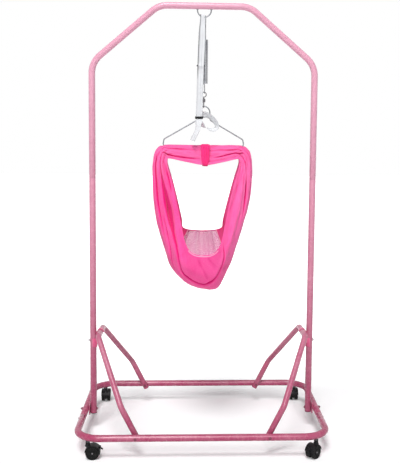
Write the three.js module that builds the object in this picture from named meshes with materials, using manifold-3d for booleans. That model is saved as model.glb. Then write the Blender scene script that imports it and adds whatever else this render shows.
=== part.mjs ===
// Hanging baby cradle: a painted steel tube stand on four casters, with a cloth sling hung from
// its top bar on a coil spring, a swivel and a wire hanger, and a safety strap beside the spring.
// Millimetres. +X to the viewer's right, +Y away from the viewer, +Z up.
// The origin is on the floor, under the middle of the stand.
import * as THREE from "three";
import { mergeVertices } from "three/addons/utils/BufferGeometryUtils.js";
import Module from "manifold-3d";

const wasm = await Module();
wasm.setup();

// Fits
const fitGap = 0.3; // between two pieces that touch
const boreGap = 0.8; // round a pin or bolt, at the corners of the hole's facets
const cutOverrun = 3; // how far a cutting tool runs past what it cuts

// Stand tubes
const tubeDiameter = 25.4;
const tubeWall = 1.2;
const braceDiameter = 22;
const railHeight = 78.5; // centre of the base tube above the floor
const baseWidth = 920; // between the centres of the side rails
const baseDepth = 610; // between the centres of the front and rear rails
const baseCornerRadius = 90;
const baseSeamOffset = 90; // the seam in each side rail lies this far in front of the middle
const uprightToRailGap = 4.6; // between the skins of an upright and of its side rail
const archHeight = 1661.5; // centre of the top bar above the floor
const archFlat = 348; // top bar between the corners of its two shoulders
const archShoulderDrop = 219.5; // from the top bar down to where the uprights start
const archBendRadius = 90;
const uprightSplitHeight = 1000; // seam between each upright and the arch
const uprightFootDrop = 15.5; // the upright ends this far below the base tube's centre
const spigotLength = 45; // the reduced end that slides into the next tube
const spigotRootLength = 5; // its root inside its own tube

// Braces: each is one bent tube, in a plane that leans outward at the top
const braceFootInset = 187; // from an upright's axis to its brace's foot bolts
const braceTopHeight = 391; // centre of the brace's level top, which runs past the upright
const braceTopHalf = 78; // half its length, between the corners of its bends
const braceKneeHeight = 185;
const braceFootDrop = 15; // the foot ends this far below its bolt, along the leg
const braceLean = (26.8 * Math.PI) / 180;
const braceKneeRadius = 40;
const braceTopRadius = 40;
const clipWidth = 20;
const clipThickness = 2.5;
const clipGap = 0.5; // over the brace's top
const clipBelowTop = 60; // the clip runs this far down the upright from the brace's top
const clipBoltBelowTop = 34;
const clipWrapAngle = (150 * Math.PI) / 180; // how far the clip goes over the brace

// Fasteners
const boltDiameter = 6;
const boltHeadDiameter = 12;
const boltHeadHeight = 3.5;
const nutDiameter = 11.5;
const nutHeight = 5;
const boltTail = 3; // thread that stands out of the nut
const screwDiameter = 4;
const screwHeadDiameter = 8;
const screwHeadHeight = 2.2;
const screwLength = 9;
const screwFromSeam = 17;
const headTopShare = 0.6; // of a domed head's radius

// Foot spacers and plugs
const spacerDepth = 34;
const spacerHeight = 44;
const plugFlange = 2.2;
const plugDepth = 9;

// Hanging ring
const ringRadius = 26.5;
const ringLeg = 2.5; // straight, from the bar down to the half circle
const ringWire = 5;

// Casters
const wheelDiameter = 50;
const wheelWidth = 12;
const wheelChamfer = 1.5;
const casterTrail = 18; // from the stem's axis to the wheels' axle
const axleDiameter = 6;
const webThickness = 11; // the housing's wall between its two wheels
const webDropAngle = (20 * Math.PI) / 180; // how far the web reaches below the axle's level
const wheelSideGap = 0.5;
const hoodGap = 1.5; // between the tread and the hood
const hoodThickness = 2;
const hoodEndAngle = (10 * Math.PI) / 180; // above the axle's level
const stemBossRadius = 8;
const stemFlangeRadius = 8;
const stemFlangeHeight = 2.6;
const stemPinDiameter = 7;
const stemPinLength = 24;
const stemThreadDiameter = 8;
const stemThreadLength = 9;
const stemBendAngle = (30 * Math.PI) / 180; // round the base's corner bend from its front end
const frontRightHeading = (226.2 * Math.PI) / 180;
const pedalPivotRadius = 31; // from the axle
const pedalPivotAngle = (35 * Math.PI) / 180;
const pedalPinDiameter = 3.6;
const pedalLugRadius = 4;
const pedalLugThickness = 2.5;
const pedalWidth = 10;
const pedalThickness = 3;
const pedalReach = 36; // from the axle to the pedal's tip
const pedalTipDrop = 8; // from the pedal's pivot down to its tip

// Spring
const springWire = 3.4;
const springCoilRadius = 9.5; // to the wire's centre
const springPitch = 4;
const springTurns = 42; // whole turns of the body, less the part between its two ends
const springAxisX = 4; // beside the strap
const springEndBend = 4;
const springTopHookLift = 4.7; // of the hook's wire above the ring's wire, centre to centre
const springTopNeck = 81; // from the last coil to where the top hook bends
const springTopTip = 17; // straight end of the top hook
const springBottomNeck = 26;
const springBottomTip = 8;
const springEndAzimuth = (60 * Math.PI) / 180;
const springSteps = 8; // round one coil
const springSides = 5;

// Swivel
const eyeRadius = 9.5;
const eyeWire = 4;
const eyeRise = 16.3; // of the eye's centre above the barrel
const eyeShankDiameter = 4.4;
const barrelDiameter = 13;
const barrelHeight = 13;
const barrelBoreDepth = 10;
const hookWire = 4.5;
const hookRadius = 8.5;
const hookShoulder = 8; // from the hook's lowest centre up to where it turns in to the barrel
const hookNeck = 8;
const hookTipRise = 11;
const hookBarrelOverlap = 3;

// Hanger
const hangerWire = 5;
const hangerHalfWidth = 158; // at the ends of its bottom bar
const hangerShoulderInset = 5;
const hangerShoulderRise = 27.3; // from the bottom bar to the shoulder's corner
const archNeckRise = 102; // from the bottom bar to the foot of the hanger's arch
const hangerArchRadius = 24;
const hangerArchHeight = 53; // from the foot of the arch to its crown
const hangerCornerRadius = 10;
const hangerNeckRadius = 14;
const hangerWeldGap = 0.5; // between the wire's two ends, under the tie

// Sling
const slingHeight = 566;
const slingHalfWidth = 198;
const slingHalfDepth = 150;
const clothThickness = 2.5;
const foldDepth = 9;
const foldCount = 3; // folds on each side of the cloth's middle line
const clothRows = 12; // across the cloth
const netThickness = 1.2;
const netColumns = 9; // gaps along the window
const netRows = 6; // gaps up the window
const netStrandShare = 0.16; // of the pitch of the net
const netMarginShare = 0.01; // of a pitch of the sling's stations, round the net
const tieWidth = 36;
const tieOffset = 7; // beside the middle
const tieThickness = 3;
const tieHalfDepth = 24.5;
const tieRoundness = 5;
const tieSlack = 2.2; // under the band
const barSlack = 0.3; // between the cloth's underside and the bar, besides the fit gap

// Strap
const strapWidth = 25;
const strapThickness = 1.6;
const strapRingWidth = 17; // where it is drawn in round the ring
const strapRingOffset = -7; // from the ring's middle
const strapFrontDepth = 16.5; // of the back layer, in front of the spring's axis
const strapLayerGap = 0.5;
const sliderDrop = 99.5; // below the spring's top coil
const buckleDrop = 44.4; // below the hanger's crown
const sliderTall = 6;
const buckleTall = 12;
const keeperWall = 2.2;
const keeperSideGap = 0.7;
const strapSliderOffset = -13;
const buckleOffset = -18;
const strapWrapRise = 20; // of the loop's middle line above the foot of the hanger's arch
const strapLegReach = 5.8; // from the middle of the hanger's leg to the loop round it
const legWrapFrom = (230 * Math.PI) / 180;
const legWrapTo = (60 * Math.PI) / 180;
const strapLoopReach = 51; // to the right
const strapLoopDepth = 19; // in front of the hanger
const strapLoopDrop = 57;
const strapLoopRun = 9; // flat below the buckle
const strapTailRun = 1;
const strapTailReach = 26; // to the left
const strapTailDepth = 16;
const strapTailDrop = 82;

// Facets
const tubeSides = 10;
const boreSides = 8;
const braceSides = 10;
const braceBoreSides = 6;
const boltSides = 6;
const drillSides = 6;
const wireSides = 6;
const wheelSides = 16;
const bendStep = Math.PI / 12;
const arcSteps = 8;

// Worked out from the sizes above
const tubeRadius = tubeDiameter / 2;
const braceRadius = braceDiameter / 2;
const railX = baseWidth / 2;
const railY = baseDepth / 2;
const uprightX = railX - tubeDiameter - uprightToRailGap;
const uprightFootZ = railHeight - uprightFootDrop;
const braceFootOffset = uprightX - braceFootInset;
const braceFootY = railY - tubeRadius - braceRadius - fitGap;
const ringCentreZ = archHeight - tubeRadius - fitGap - ringLeg;
const wheelApothem = (wheelDiameter / 2) * Math.cos(Math.PI / wheelSides);
const springBottomNeckX = springAxisX - springCoilRadius * Math.cos(springEndAzimuth)
  + springEndBend * Math.sin(springEndAzimuth);
const springTopNeckX = springAxisX + springCoilRadius * Math.cos(springEndAzimuth)
  - springEndBend * Math.sin(springEndAzimuth);
const springNeckY = springCoilRadius * Math.sin(springEndAzimuth)
  + springEndBend * Math.cos(springEndAzimuth);
const springTopHookZ = ringCentreZ - Math.sqrt(ringRadius ** 2 - springTopNeckX ** 2)
  + springTopHookLift - springNeckY;
const springTopZ = springTopHookZ - springTopNeck;
const springLength = (springTurns - (Math.PI - 2 * springEndAzimuth) / (2 * Math.PI)) * springPitch;
const springBottomZ = springTopZ - springLength;
const springBottomHookZ = springBottomZ - springBottomNeck;
const eyeInnerReach = eyeRadius - (eyeWire + springWire) / 2 - fitGap;
const eyeZ = springBottomHookZ - springNeckY - Math.sqrt(eyeInnerReach ** 2 - springBottomNeckX ** 2);
const barrelTopZ = eyeZ - eyeRise;
const barrelBottomZ = barrelTopZ - barrelHeight;
const hookLowZ = barrelBottomZ - hookShoulder - hookNeck - hookWire;
const hangerCrownZ = hookLowZ + (hangerWire + hookWire) / 2 + fitGap;
const barZ = hangerCrownZ - hangerArchHeight - archNeckRise;
const slingTop = barZ + hangerWire / 2 + barSlack + fitGap + clothThickness; // over the bottom bar
const sliderZ = springTopZ - sliderDrop;
const buckleZ = hangerCrownZ - buckleDrop;

// Finishes
const finish = (color, roughness, metalness) => () =>
  new THREE.MeshStandardMaterial({ color, roughness, metalness });
const pinkPaint = finish(0xe58fb4, 0.35, 0.1);
const bareWire = finish(0xb9bcc0, 0.3, 0.9);
const zincSteel = finish(0x8f8f92, 0.4, 0.85);
const blackPlastic = finish(0x17171a, 0.45, 0);
const greyWebbing = finish(0xd6d6da, 0.85, 0);
const pinkCloth = finish(0xff5aa2, 0.9, 0);
const paleNet = finish(0xe7a6c8, 0.9, 0);

const vec = (x, y, z) => new THREE.Vector3(x, y, z);

// A path made of stations, so that a swept tube has a ring at each station and nowhere else.
class StationPath extends THREE.Curve {
  constructor(stations) {
    super();
    this.stations = stations;
  }

  station(share) {
    return this.stations[Math.round(share * (this.stations.length - 1))];
  }

  getUtoTmapping(share) {
    return share;
  }

  getPoint(share) {
    return this.station(share).point.clone();
  }

  getTangent(share) {
    return this.station(share).tangent.clone();
  }
}

// Straights between corners, with a round bend of its own radius at each inner corner.
function bentStations(corners, radii) {
  const heading = (index) => corners[index + 1].clone().sub(corners[index]).normalize();
  const last = corners.length - 1;
  const stations = [{ point: corners[0], tangent: heading(0) }];
  for (let i = 1; i < last; i += 1) {
    const before = heading(i - 1);
    const after = heading(i);
    const turn = before.angleTo(after);
    const radius = radii[i - 1];
    const inward = after.clone().addScaledVector(before, -Math.cos(turn)).normalize();
    const start = corners[i].clone().addScaledVector(before, -radius * Math.tan(turn / 2));
    const steps = Math.max(2, Math.round(turn / bendStep));
    for (let step = 0; step <= steps; step += 1) {
      const angle = (turn * step) / steps;
      const point = start.clone()
        .addScaledVector(before, radius * Math.sin(angle))
        .addScaledVector(inward, radius * (1 - Math.cos(angle)));
      const tangent = before.clone().multiplyScalar(Math.cos(angle))
        .addScaledVector(inward, Math.sin(angle));
      stations.push({ point, tangent });
    }
  }
  stations.push({ point: corners[last], tangent: heading(last - 1) });
  return stations;
}

// Stations through points that already lie close together on a smooth curve.
function smoothStations(points) {
  return points.map((point, i) => {
    const before = points[Math.max(i - 1, 0)];
    const after = points[Math.min(i + 1, points.length - 1)];
    return { point, tangent: after.clone().sub(before).normalize() };
  });
}

function polygon(radius, sides) {
  const points = [];
  for (let i = 0; i < sides; i += 1) {
    const angle = (2 * Math.PI * i) / sides;
    points.push(new THREE.Vector2(radius * Math.cos(angle), radius * Math.sin(angle)));
  }
  return points;
}

function sweep(stations, section) {
  const steps = stations.length - 1;
  return new THREE.ExtrudeGeometry(section, { steps, extrudePath: new StationPath(stations) });
}

function sweptTube(stations, radius, sides, innerSides) {
  const section = new THREE.Shape(polygon(radius, sides));
  section.holes.push(new THREE.Path(polygon(radius - tubeWall, innerSides)));
  return sweep(stations, section);
}

function sweptWire(stations, diameter, sides) {
  return sweep(stations, new THREE.Shape(polygon(diameter / 2, sides)));
}

// Joining and cutting
function toSolid(geometry) {
  const bare = geometry.clone();
  bare.deleteAttribute("normal");
  bare.deleteAttribute("uv");
  const merged = mergeVertices(bare);
  const vertProperties = merged.attributes.position.array;
  const triVerts = Uint32Array.from(merged.index.array);
  return new wasm.Manifold(new wasm.Mesh({ numProp: 3, vertProperties, triVerts }));
}

function toGeometry(solid) {
  const { vertProperties, triVerts } = solid.getMesh();
  const geometry = new THREE.BufferGeometry();
  geometry.setAttribute("position", new THREE.BufferAttribute(vertProperties, 3));
  geometry.setIndex(new THREE.BufferAttribute(triVerts, 1));
  return geometry;
}

function joined(...geometries) {
  return toGeometry(geometries.map(toSolid).reduce((sum, next) => sum.add(next)));
}

function cut(geometry, tools) {
  return toGeometry(tools.map(toSolid).reduce((rest, tool) => rest.subtract(tool), toSolid(geometry)));
}

// A round bar between two points.
function bar(from, to, radius, sides) {
  const length = from.distanceTo(to);
  const geometry = new THREE.CylinderGeometry(radius, radius, length, sides);
  const turn = new THREE.Quaternion().setFromUnitVectors(
    vec(0, 1, 0),
    to.clone().sub(from).normalize(),
  );
  const middle = from.clone().add(to).multiplyScalar(1 / 2);
  return geometry.applyQuaternion(turn).translate(middle.x, middle.y, middle.z);
}

const drill = (from, to, diameter) => bar(from, to, diameter / 2 + boreGap, drillSides);

// A solid of revolution about Z, from [radius, height] points.
function turned(profile, sides) {
  const points = profile.map(([radius, height]) => new THREE.Vector2(radius, height));
  return new THREE.LatheGeometry(points, sides).rotateX(Math.PI / 2);
}

// An outline drawn in X and Z, extruded evenly to both sides along Y.
function sidewise(shape, width) {
  const geometry = new THREE.ExtrudeGeometry(shape, { depth: width, bevelEnabled: false });
  return geometry.translate(0, 0, -width / 2).rotateX(Math.PI / 2);
}

function arcPoints(x, z, radius, from, to, steps) {
  const points = [];
  for (let i = 0; i <= steps; i += 1) {
    const angle = from + ((to - from) * i) / steps;
    points.push(new THREE.Vector2(x + radius * Math.cos(angle), z + radius * Math.sin(angle)));
  }
  return points;
}

const cradle = new THREE.Group();

function piece(name, geometry, material, parent = cradle) {
  const mesh = new THREE.Mesh(geometry, material());
  mesh.name = name;
  parent.add(mesh);
  return mesh;
}

const sides = [["left", -1], ["right", 1]];

// Stand

// The reduced end of a tube, along Z from its shoulder at zero, with its root below the shoulder.
function spigot() {
  const root = tubeRadius - tubeWall / 2;
  const skin = (tubeRadius - tubeWall) * Math.cos(Math.PI / boreSides) - fitGap;
  const bore = skin - tubeWall;
  return turned([
    [bore, -spigotRootLength],
    [root, -spigotRootLength],
    [root, 0],
    [skin, 0],
    [skin, spigotLength],
    [bore, spigotLength],
    [bore, -spigotRootLength],
  ], tubeSides);
}

function topArch() {
  const corners = [
    vec(-uprightX, 0, uprightSplitHeight),
    vec(-uprightX, 0, archHeight - archShoulderDrop),
    vec(-archFlat / 2, 0, archHeight),
    vec(archFlat / 2, 0, archHeight),
    vec(uprightX, 0, archHeight - archShoulderDrop),
    vec(uprightX, 0, uprightSplitHeight),
  ];
  const radii = corners.slice(2).map(() => archBendRadius);
  return sweptTube(bentStations(corners, radii), tubeRadius, tubeSides, boreSides);
}

// Along Z, with its foot at zero.
function upright() {
  const length = uprightSplitHeight - uprightFootZ - fitGap;
  const ends = bentStations([vec(0, 0, 0), vec(0, 0, length)], []);
  const skin = sweptTube(ends, tubeRadius, tubeSides, boreSides);
  return joined(skin, spigot().translate(0, 0, length));
}

// Half of the base loop; the ends at the seam have their spigots on the rear half.
function baseHalf(end, seamY) {
  const corners = [
    vec(-railX, seamY, railHeight),
    vec(-railX, end * railY, railHeight),
    vec(railX, end * railY, railHeight),
    vec(railX, seamY, railHeight),
  ];
  const radii = [baseCornerRadius, baseCornerRadius];
  return sweptTube(bentStations(corners, radii), tubeRadius, tubeSides, boreSides);
}

const stemPlace = (signX, signY) => vec(
  signX * (railX - baseCornerRadius * (1 - Math.sin(stemBendAngle))),
  signY * (railY - baseCornerRadius * (1 - Math.cos(stemBendAngle))),
  0,
);

function stemHole(signX, signY) {
  const from = stemPlace(signX, signY).setZ(railHeight - tubeDiameter);
  return drill(from, from.clone().setZ(railHeight), stemThreadDiameter);
}

const acrossRail = (x, signY) => drill(
  vec(x, signY * (railY + tubeDiameter), railHeight),
  vec(x, signY * (railY - tubeDiameter), railHeight),
  boltDiameter,
);

const acrossSide = (signX, z) => drill(
  vec(signX * (railX + tubeDiameter), 0, z),
  vec(signX * (uprightX - tubeDiameter), 0, z),
  boltDiameter,
);

function screwHole(signX) {
  const y = -baseSeamOffset - screwFromSeam;
  return drill(vec(signX * railX, y, railHeight), vec(signX * (railX + tubeDiameter), y, railHeight),
    screwDiameter);
}

function baseHoles(signY) {
  return sides.flatMap(([, sign]) => [
    stemHole(sign, signY),
    acrossRail(sign * braceFootOffset, signY),
    screwHole(sign),
  ]);
}

piece("top_arch", topArch(), pinkPaint);

for (const [side, sign] of sides) {
  const holes = [acrossSide(sign, railHeight), acrossSide(sign, braceTopHeight - clipBoltBelowTop)]
    .map((tool) => tool.translate(-sign * uprightX, 0, -uprightFootZ));
  const tube = piece(`${side}_upright`, cut(upright(), holes), pinkPaint);
  tube.position.set(sign * uprightX, 0, uprightFootZ);
}

piece("base_front_rail", cut(baseHalf(-1, -baseSeamOffset), baseHoles(-1)), pinkPaint);

function rearRail() {
  const tubeEnd = -baseSeamOffset + fitGap;
  const spigots = sides.map(([, sign]) => spigot().rotateX(Math.PI / 2)
    .translate(sign * railX, tubeEnd, railHeight));
  const acrossSides = sides.map(([, sign]) => acrossSide(sign, railHeight));
  return cut(joined(baseHalf(1, tubeEnd), ...spigots), [...baseHoles(1), ...acrossSides]);
}

piece("base_rear_rail", rearRail(), pinkPaint);

// Braces. Each is drawn in a plane with its foot bolts at height zero, and then leans outward.
function brace() {
  const along = 1 / Math.cos(braceLean);
  const knee = (braceKneeHeight - railHeight) * along;
  const top = (braceTopHeight - railHeight) * along;
  const corners = [
    vec(0, -braceFootY, -braceFootDrop),
    vec(0, -braceFootY, knee),
    vec(0, -braceTopHalf, top),
    vec(0, braceTopHalf, top),
    vec(0, braceFootY, knee),
    vec(0, braceFootY, -braceFootDrop),
  ];
  const radii = [braceKneeRadius, braceTopRadius, braceTopRadius, braceKneeRadius];
  const skin = sweptTube(bentStations(corners, radii), braceRadius, braceSides, braceBoreSides);
  const reach = braceFootY + braceDiameter;
  return cut(skin, [drill(vec(0, -reach, 0), vec(0, reach, 0), boltDiameter)]);
}

for (const [side, sign] of sides) {
  const leaning = new THREE.Group();
  leaning.position.set(sign * braceFootOffset, 0, railHeight);
  leaning.rotation.y = sign * braceLean;
  piece(`${side}_brace`, brace(), pinkPaint, leaning);
  cradle.add(leaning);
}

// A strip with its own width, width direction and centre at each station.
function ribbon(stations, thickness) {
  const positions = [];
  const indices = [];
  stations.forEach(({ point, across, width }, i) => {
    const before = stations[Math.max(i - 1, 0)].point;
    const after = stations[Math.min(i + 1, stations.length - 1)].point;
    const tangent = after.clone().sub(before).normalize();
    const flat = across.clone().addScaledVector(tangent, -across.dot(tangent)).normalize();
    const normal = tangent.clone().cross(flat);
    for (const [u, n] of [[-1, -1], [1, -1], [1, 1], [-1, 1]]) {
      const corner = point.clone()
        .addScaledVector(flat, (u * width) / 2)
        .addScaledVector(normal, (n * thickness) / 2);
      positions.push(corner.x, corner.y, corner.z);
    }
  });
  const last = 4 * (stations.length - 1);
  for (let base = 0; base < last; base += 4) {
    for (let k = 0; k < 4; k += 1) {
      const a = base + k;
      const b = base + ((k + 1) % 4);
      indices.push(a, b, b + 4, a, b + 4, a + 4);
    }
  }
  indices.push(0, 2, 1, 0, 3, 2, last, last + 1, last + 2, last, last + 2, last + 3);
  const geometry = new THREE.BufferGeometry();
  geometry.setAttribute("position", new THREE.Float32BufferAttribute(positions, 3));
  geometry.setIndex(indices);
  return geometry;
}

// The clip lies flat on the upright's inner face and wraps over the top of the brace.
function braceClip(sign) {
  const topX = braceTopX(sign);
  const facet = clipWrapAngle / (2 * arcSteps);
  const wrapRadius = (braceRadius + clipGap) / Math.cos(facet) + clipThickness / 2;
  const faceX = sign * (uprightX - tubeRadius - fitGap - clipThickness / 2);
  const stations = [vec(faceX, 0, braceTopHeight - clipBelowTop)];
  const reach = Math.abs(faceX - topX);
  const startAngle = Math.PI - Math.acos(Math.min(wrapRadius / reach, 1));
  stations.push(vec(faceX, 0, braceTopHeight));
  for (let i = 0; i <= arcSteps; i += 1) {
    const angle = startAngle - (clipWrapAngle * i) / arcSteps;
    stations.push(vec(
      topX - sign * wrapRadius * Math.cos(angle),
      0,
      braceTopHeight + wrapRadius * Math.sin(angle),
    ));
  }
  const across = vec(0, 1, 0);
  const strip = ribbon(stations.map((point) => ({ point, across, width: clipWidth })), clipThickness);
  return cut(strip, [acrossSide(sign, braceTopHeight - clipBoltBelowTop)]);
}

function braceTopX(sign) {
  const rise = (braceTopHeight - railHeight) * Math.tan(braceLean);
  return sign * (braceFootOffset + rise);
}

// A bolt along Z with its head at the bottom and its nut at the top of the grip.
function bolt(grip) {
  const shank = boltDiameter / 2;
  const head = boltHeadDiameter / 2;
  const nut = nutDiameter / 2;
  return turned([
    [0, -boltHeadHeight],
    [head * headTopShare, -boltHeadHeight],
    [head, 0],
    [shank, 0],
    [shank, grip],
    [nut, grip],
    [nut, grip + nutHeight],
    [shank, grip + nutHeight],
    [shank, grip + nutHeight + boltTail],
    [0, grip + nutHeight + boltTail],
  ], boltSides);
}

for (const [side, sign] of sides) {
  piece(`${side}_brace_clip`, braceClip(sign), pinkPaint);

  const clipBoltHead = uprightX - tubeRadius - clipThickness - 2 * fitGap;
  const clipGrip = uprightX + tubeRadius + fitGap - clipBoltHead;
  const clipBolt = piece(`${side}_brace_clip_bolt`, bolt(clipGrip), zincSteel);
  clipBolt.rotation.y = (sign * Math.PI) / 2;
  clipBolt.position.set(sign * clipBoltHead, 0, braceTopHeight - clipBoltBelowTop);

  const footBoltHead = uprightX - tubeRadius - fitGap;
  const footGrip = railX + tubeRadius + fitGap - footBoltHead;
  const footBolt = piece(`${side}_upright_foot_bolt`, bolt(footGrip), zincSteel);
  footBolt.rotation.y = (sign * Math.PI) / 2;
  footBolt.position.set(sign * footBoltHead, 0, railHeight);

  const spacer = new THREE.BoxGeometry(uprightToRailGap - 2 * fitGap, spacerDepth, spacerHeight)
    .translate(sign * (uprightX + tubeRadius + uprightToRailGap / 2), 0, railHeight);
  piece(`${side}_foot_spacer`, cut(spacer, [acrossSide(sign, railHeight)]), pinkPaint);

  const plugRadius = (tubeRadius - tubeWall) * Math.cos(Math.PI / boreSides) - fitGap;
  const plug = turned([
    [0, -plugFlange],
    [tubeRadius, -plugFlange],
    [tubeRadius, 0],
    [plugRadius, 0],
    [plugRadius, plugDepth],
    [0, plugDepth],
  ], tubeSides);
  piece(`${side}_upright_plug`, plug, blackPlastic)
    .position.set(sign * uprightX, 0, uprightFootZ - fitGap);

  for (const [end, signY] of [["front", -1], ["rear", 1]]) {
    const head = railY + tubeRadius + fitGap;
    const grip = head - (braceFootY - braceRadius - fitGap);
    const foot = piece(`${side}_${end}_brace_bolt`, bolt(grip), zincSteel);
    foot.rotation.x = (signY * Math.PI) / 2;
    foot.position.set(sign * braceFootOffset, signY * head, railHeight);
  }

  const screw = turned([
    [0, 0],
    [screwDiameter / 2, 0],
    [screwDiameter / 2, screwLength],
    [screwHeadDiameter / 2, screwLength],
    [(screwHeadDiameter / 2) * headTopShare, screwLength + screwHeadHeight],
    [0, screwLength + screwHeadHeight],
  ], boltSides);
  const screwMesh = piece(`${side}_base_seam_screw`, screw, zincSteel);
  screwMesh.rotation.y = (sign * Math.PI) / 2;
  screwMesh.position.set(
    sign * (railX + tubeRadius + fitGap - screwLength), -baseSeamOffset - screwFromSeam, railHeight,
  );
}

// Half ring under the top bar, with its ends welded to the bar's underside.
function hangingRing() {
  const corners = [
    vec(-ringRadius, 0, ringCentreZ + ringLeg),
    vec(-ringRadius, 0, ringCentreZ - ringRadius),
    vec(ringRadius, 0, ringCentreZ - ringRadius),
    vec(ringRadius, 0, ringCentreZ + ringLeg),
  ];
  return sweptWire(bentStations(corners, [ringRadius, ringRadius]), ringWire, wireSides);
}

piece("hanging_ring", hangingRing(), bareWire);

// Spring

// From the last coil outward: a bend, a neck, the hook's half circle and its straight tip.
function springEnd(up, azimuth, lastZ, neck, tip) {
  const start = vec(springCoilRadius * Math.cos(azimuth), springCoilRadius * Math.sin(azimuth), lastZ);
  const run = vec(-Math.sin(azimuth) * up, Math.cos(azimuth) * up, 0);
  const points = [];
  const quarter = springSteps / 2;
  for (let i = 1; i <= quarter; i += 1) {
    const angle = (Math.PI * i) / (2 * quarter);
    points.push(start.clone()
      .addScaledVector(run, springEndBend * Math.sin(angle))
      .setZ(lastZ + up * springEndBend * (1 - Math.cos(angle))));
  }
  const { x, y } = points[points.length - 1];
  const hookZ = lastZ + up * neck;
  for (let i = 0; i <= springSteps; i += 1) {
    const angle = (Math.PI * i) / springSteps;
    points.push(vec(x, y * Math.cos(angle), hookZ + up * y * Math.sin(angle)));
  }
  points.push(vec(x, -y, hookZ - up * tip));
  return points;
}

function springPoints() {
  const bottomAzimuth = Math.PI - springEndAzimuth;
  const turn = (springLength / springPitch) * 2 * Math.PI;
  const steps = Math.round((turn * springSteps) / (2 * Math.PI));
  const body = [];
  for (let i = 0; i <= steps; i += 1) {
    const angle = bottomAzimuth + (turn * i) / steps;
    body.push(vec(
      springCoilRadius * Math.cos(angle),
      springCoilRadius * Math.sin(angle),
      springBottomZ + (springLength * i) / steps,
    ));
  }
  const top = springEnd(1, bottomAzimuth + turn, springTopZ, springTopNeck, springTopTip);
  const bottom = springEnd(-1, bottomAzimuth, springBottomZ, springBottomNeck, springBottomTip);
  return [...bottom.reverse(), ...body, ...top];
}

// The least gap between two stretches of the wire more than half a coil apart along it.
function leastSelfGap(points) {
  let least = Infinity;
  for (let i = 0; i < points.length; i += 1) {
    for (let j = i + springSteps / 2 + 1; j < points.length; j += 1) {
      least = Math.min(least, points[i].distanceTo(points[j]));
    }
  }
  return least - springWire;
}

const springLine = springPoints();
console.log(`least gap between the spring's coils: ${leastSelfGap(springLine).toFixed(2)} mm`);
piece("coil_spring", sweptWire(smoothStations(springLine), springWire, springSides), bareWire)
  .position.setX(springAxisX);

// Swivel
function swivelEye() {
  const ring = new THREE.TorusGeometry(eyeRadius, eyeWire / 2, wireSides, 2 * arcSteps)
    .rotateX(Math.PI / 2)
    .translate(0, 0, eyeZ);
  const shankFoot = barrelTopZ - barrelBoreDepth + fitGap;
  const shank = bar(vec(0, 0, shankFoot), vec(0, 0, eyeZ - eyeRadius), eyeShankDiameter / 2, wireSides);
  return joined(ring, shank);
}

piece("swivel_eye", swivelEye(), zincSteel);

function swivelHook() {
  const neckZ = hookLowZ + hookShoulder + hookNeck;
  const corners = [
    vec(0, 0, barrelBottomZ + hookBarrelOverlap),
    vec(0, 0, neckZ),
    vec(0, hookRadius, hookLowZ + hookShoulder),
    vec(0, hookRadius, hookLowZ),
    vec(0, -hookRadius, hookLowZ),
    vec(0, -hookRadius, hookLowZ + hookTipRise),
  ];
  const stations = bentStations(corners, [hookWire / 2, hookWire / 2, hookShoulder / 2, hookRadius]);
  const wire = sweptWire(stations, hookWire, wireSides);
  const radius = barrelDiameter / 2;
  const barrel = turned([
    [0, barrelBottomZ],
    [radius, barrelBottomZ],
    [radius, barrelTopZ],
    [eyeShankDiameter / 2 + boreGap, barrelTopZ],
    [eyeShankDiameter / 2 + boreGap, barrelTopZ - barrelBoreDepth],
    [0, barrelTopZ - barrelBoreDepth],
  ], tubeSides);
  return joined(wire, barrel);
}

piece("swivel_hook", swivelHook(), zincSteel);

// Hanger: one bent wire, with its ends butted together in the middle of the bottom bar.
function hangerFrame() {
  const rightHalf = [
    vec(hangerHalfWidth, 0, barZ),
    vec(hangerHalfWidth - hangerShoulderInset, 0, barZ + hangerShoulderRise),
    vec(hangerArchRadius, 0, barZ + archNeckRise),
    vec(hangerArchRadius, 0, hangerCrownZ),
  ];
  const mirrored = rightHalf.map(({ x, z }) => vec(-x, 0, z)).reverse();
  const corners = [vec(hangerWeldGap / 2, 0, barZ), ...rightHalf, ...mirrored,
    vec(-hangerWeldGap / 2, 0, barZ)];
  const radii = [hangerCornerRadius, hangerCornerRadius, hangerNeckRadius, hangerArchRadius];
  return sweptWire(bentStations(corners, [...radii, ...radii.slice().reverse()]), hangerWire, wireSides);
}

piece("hanger_frame", hangerFrame(), bareWire);

// Sling

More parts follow.
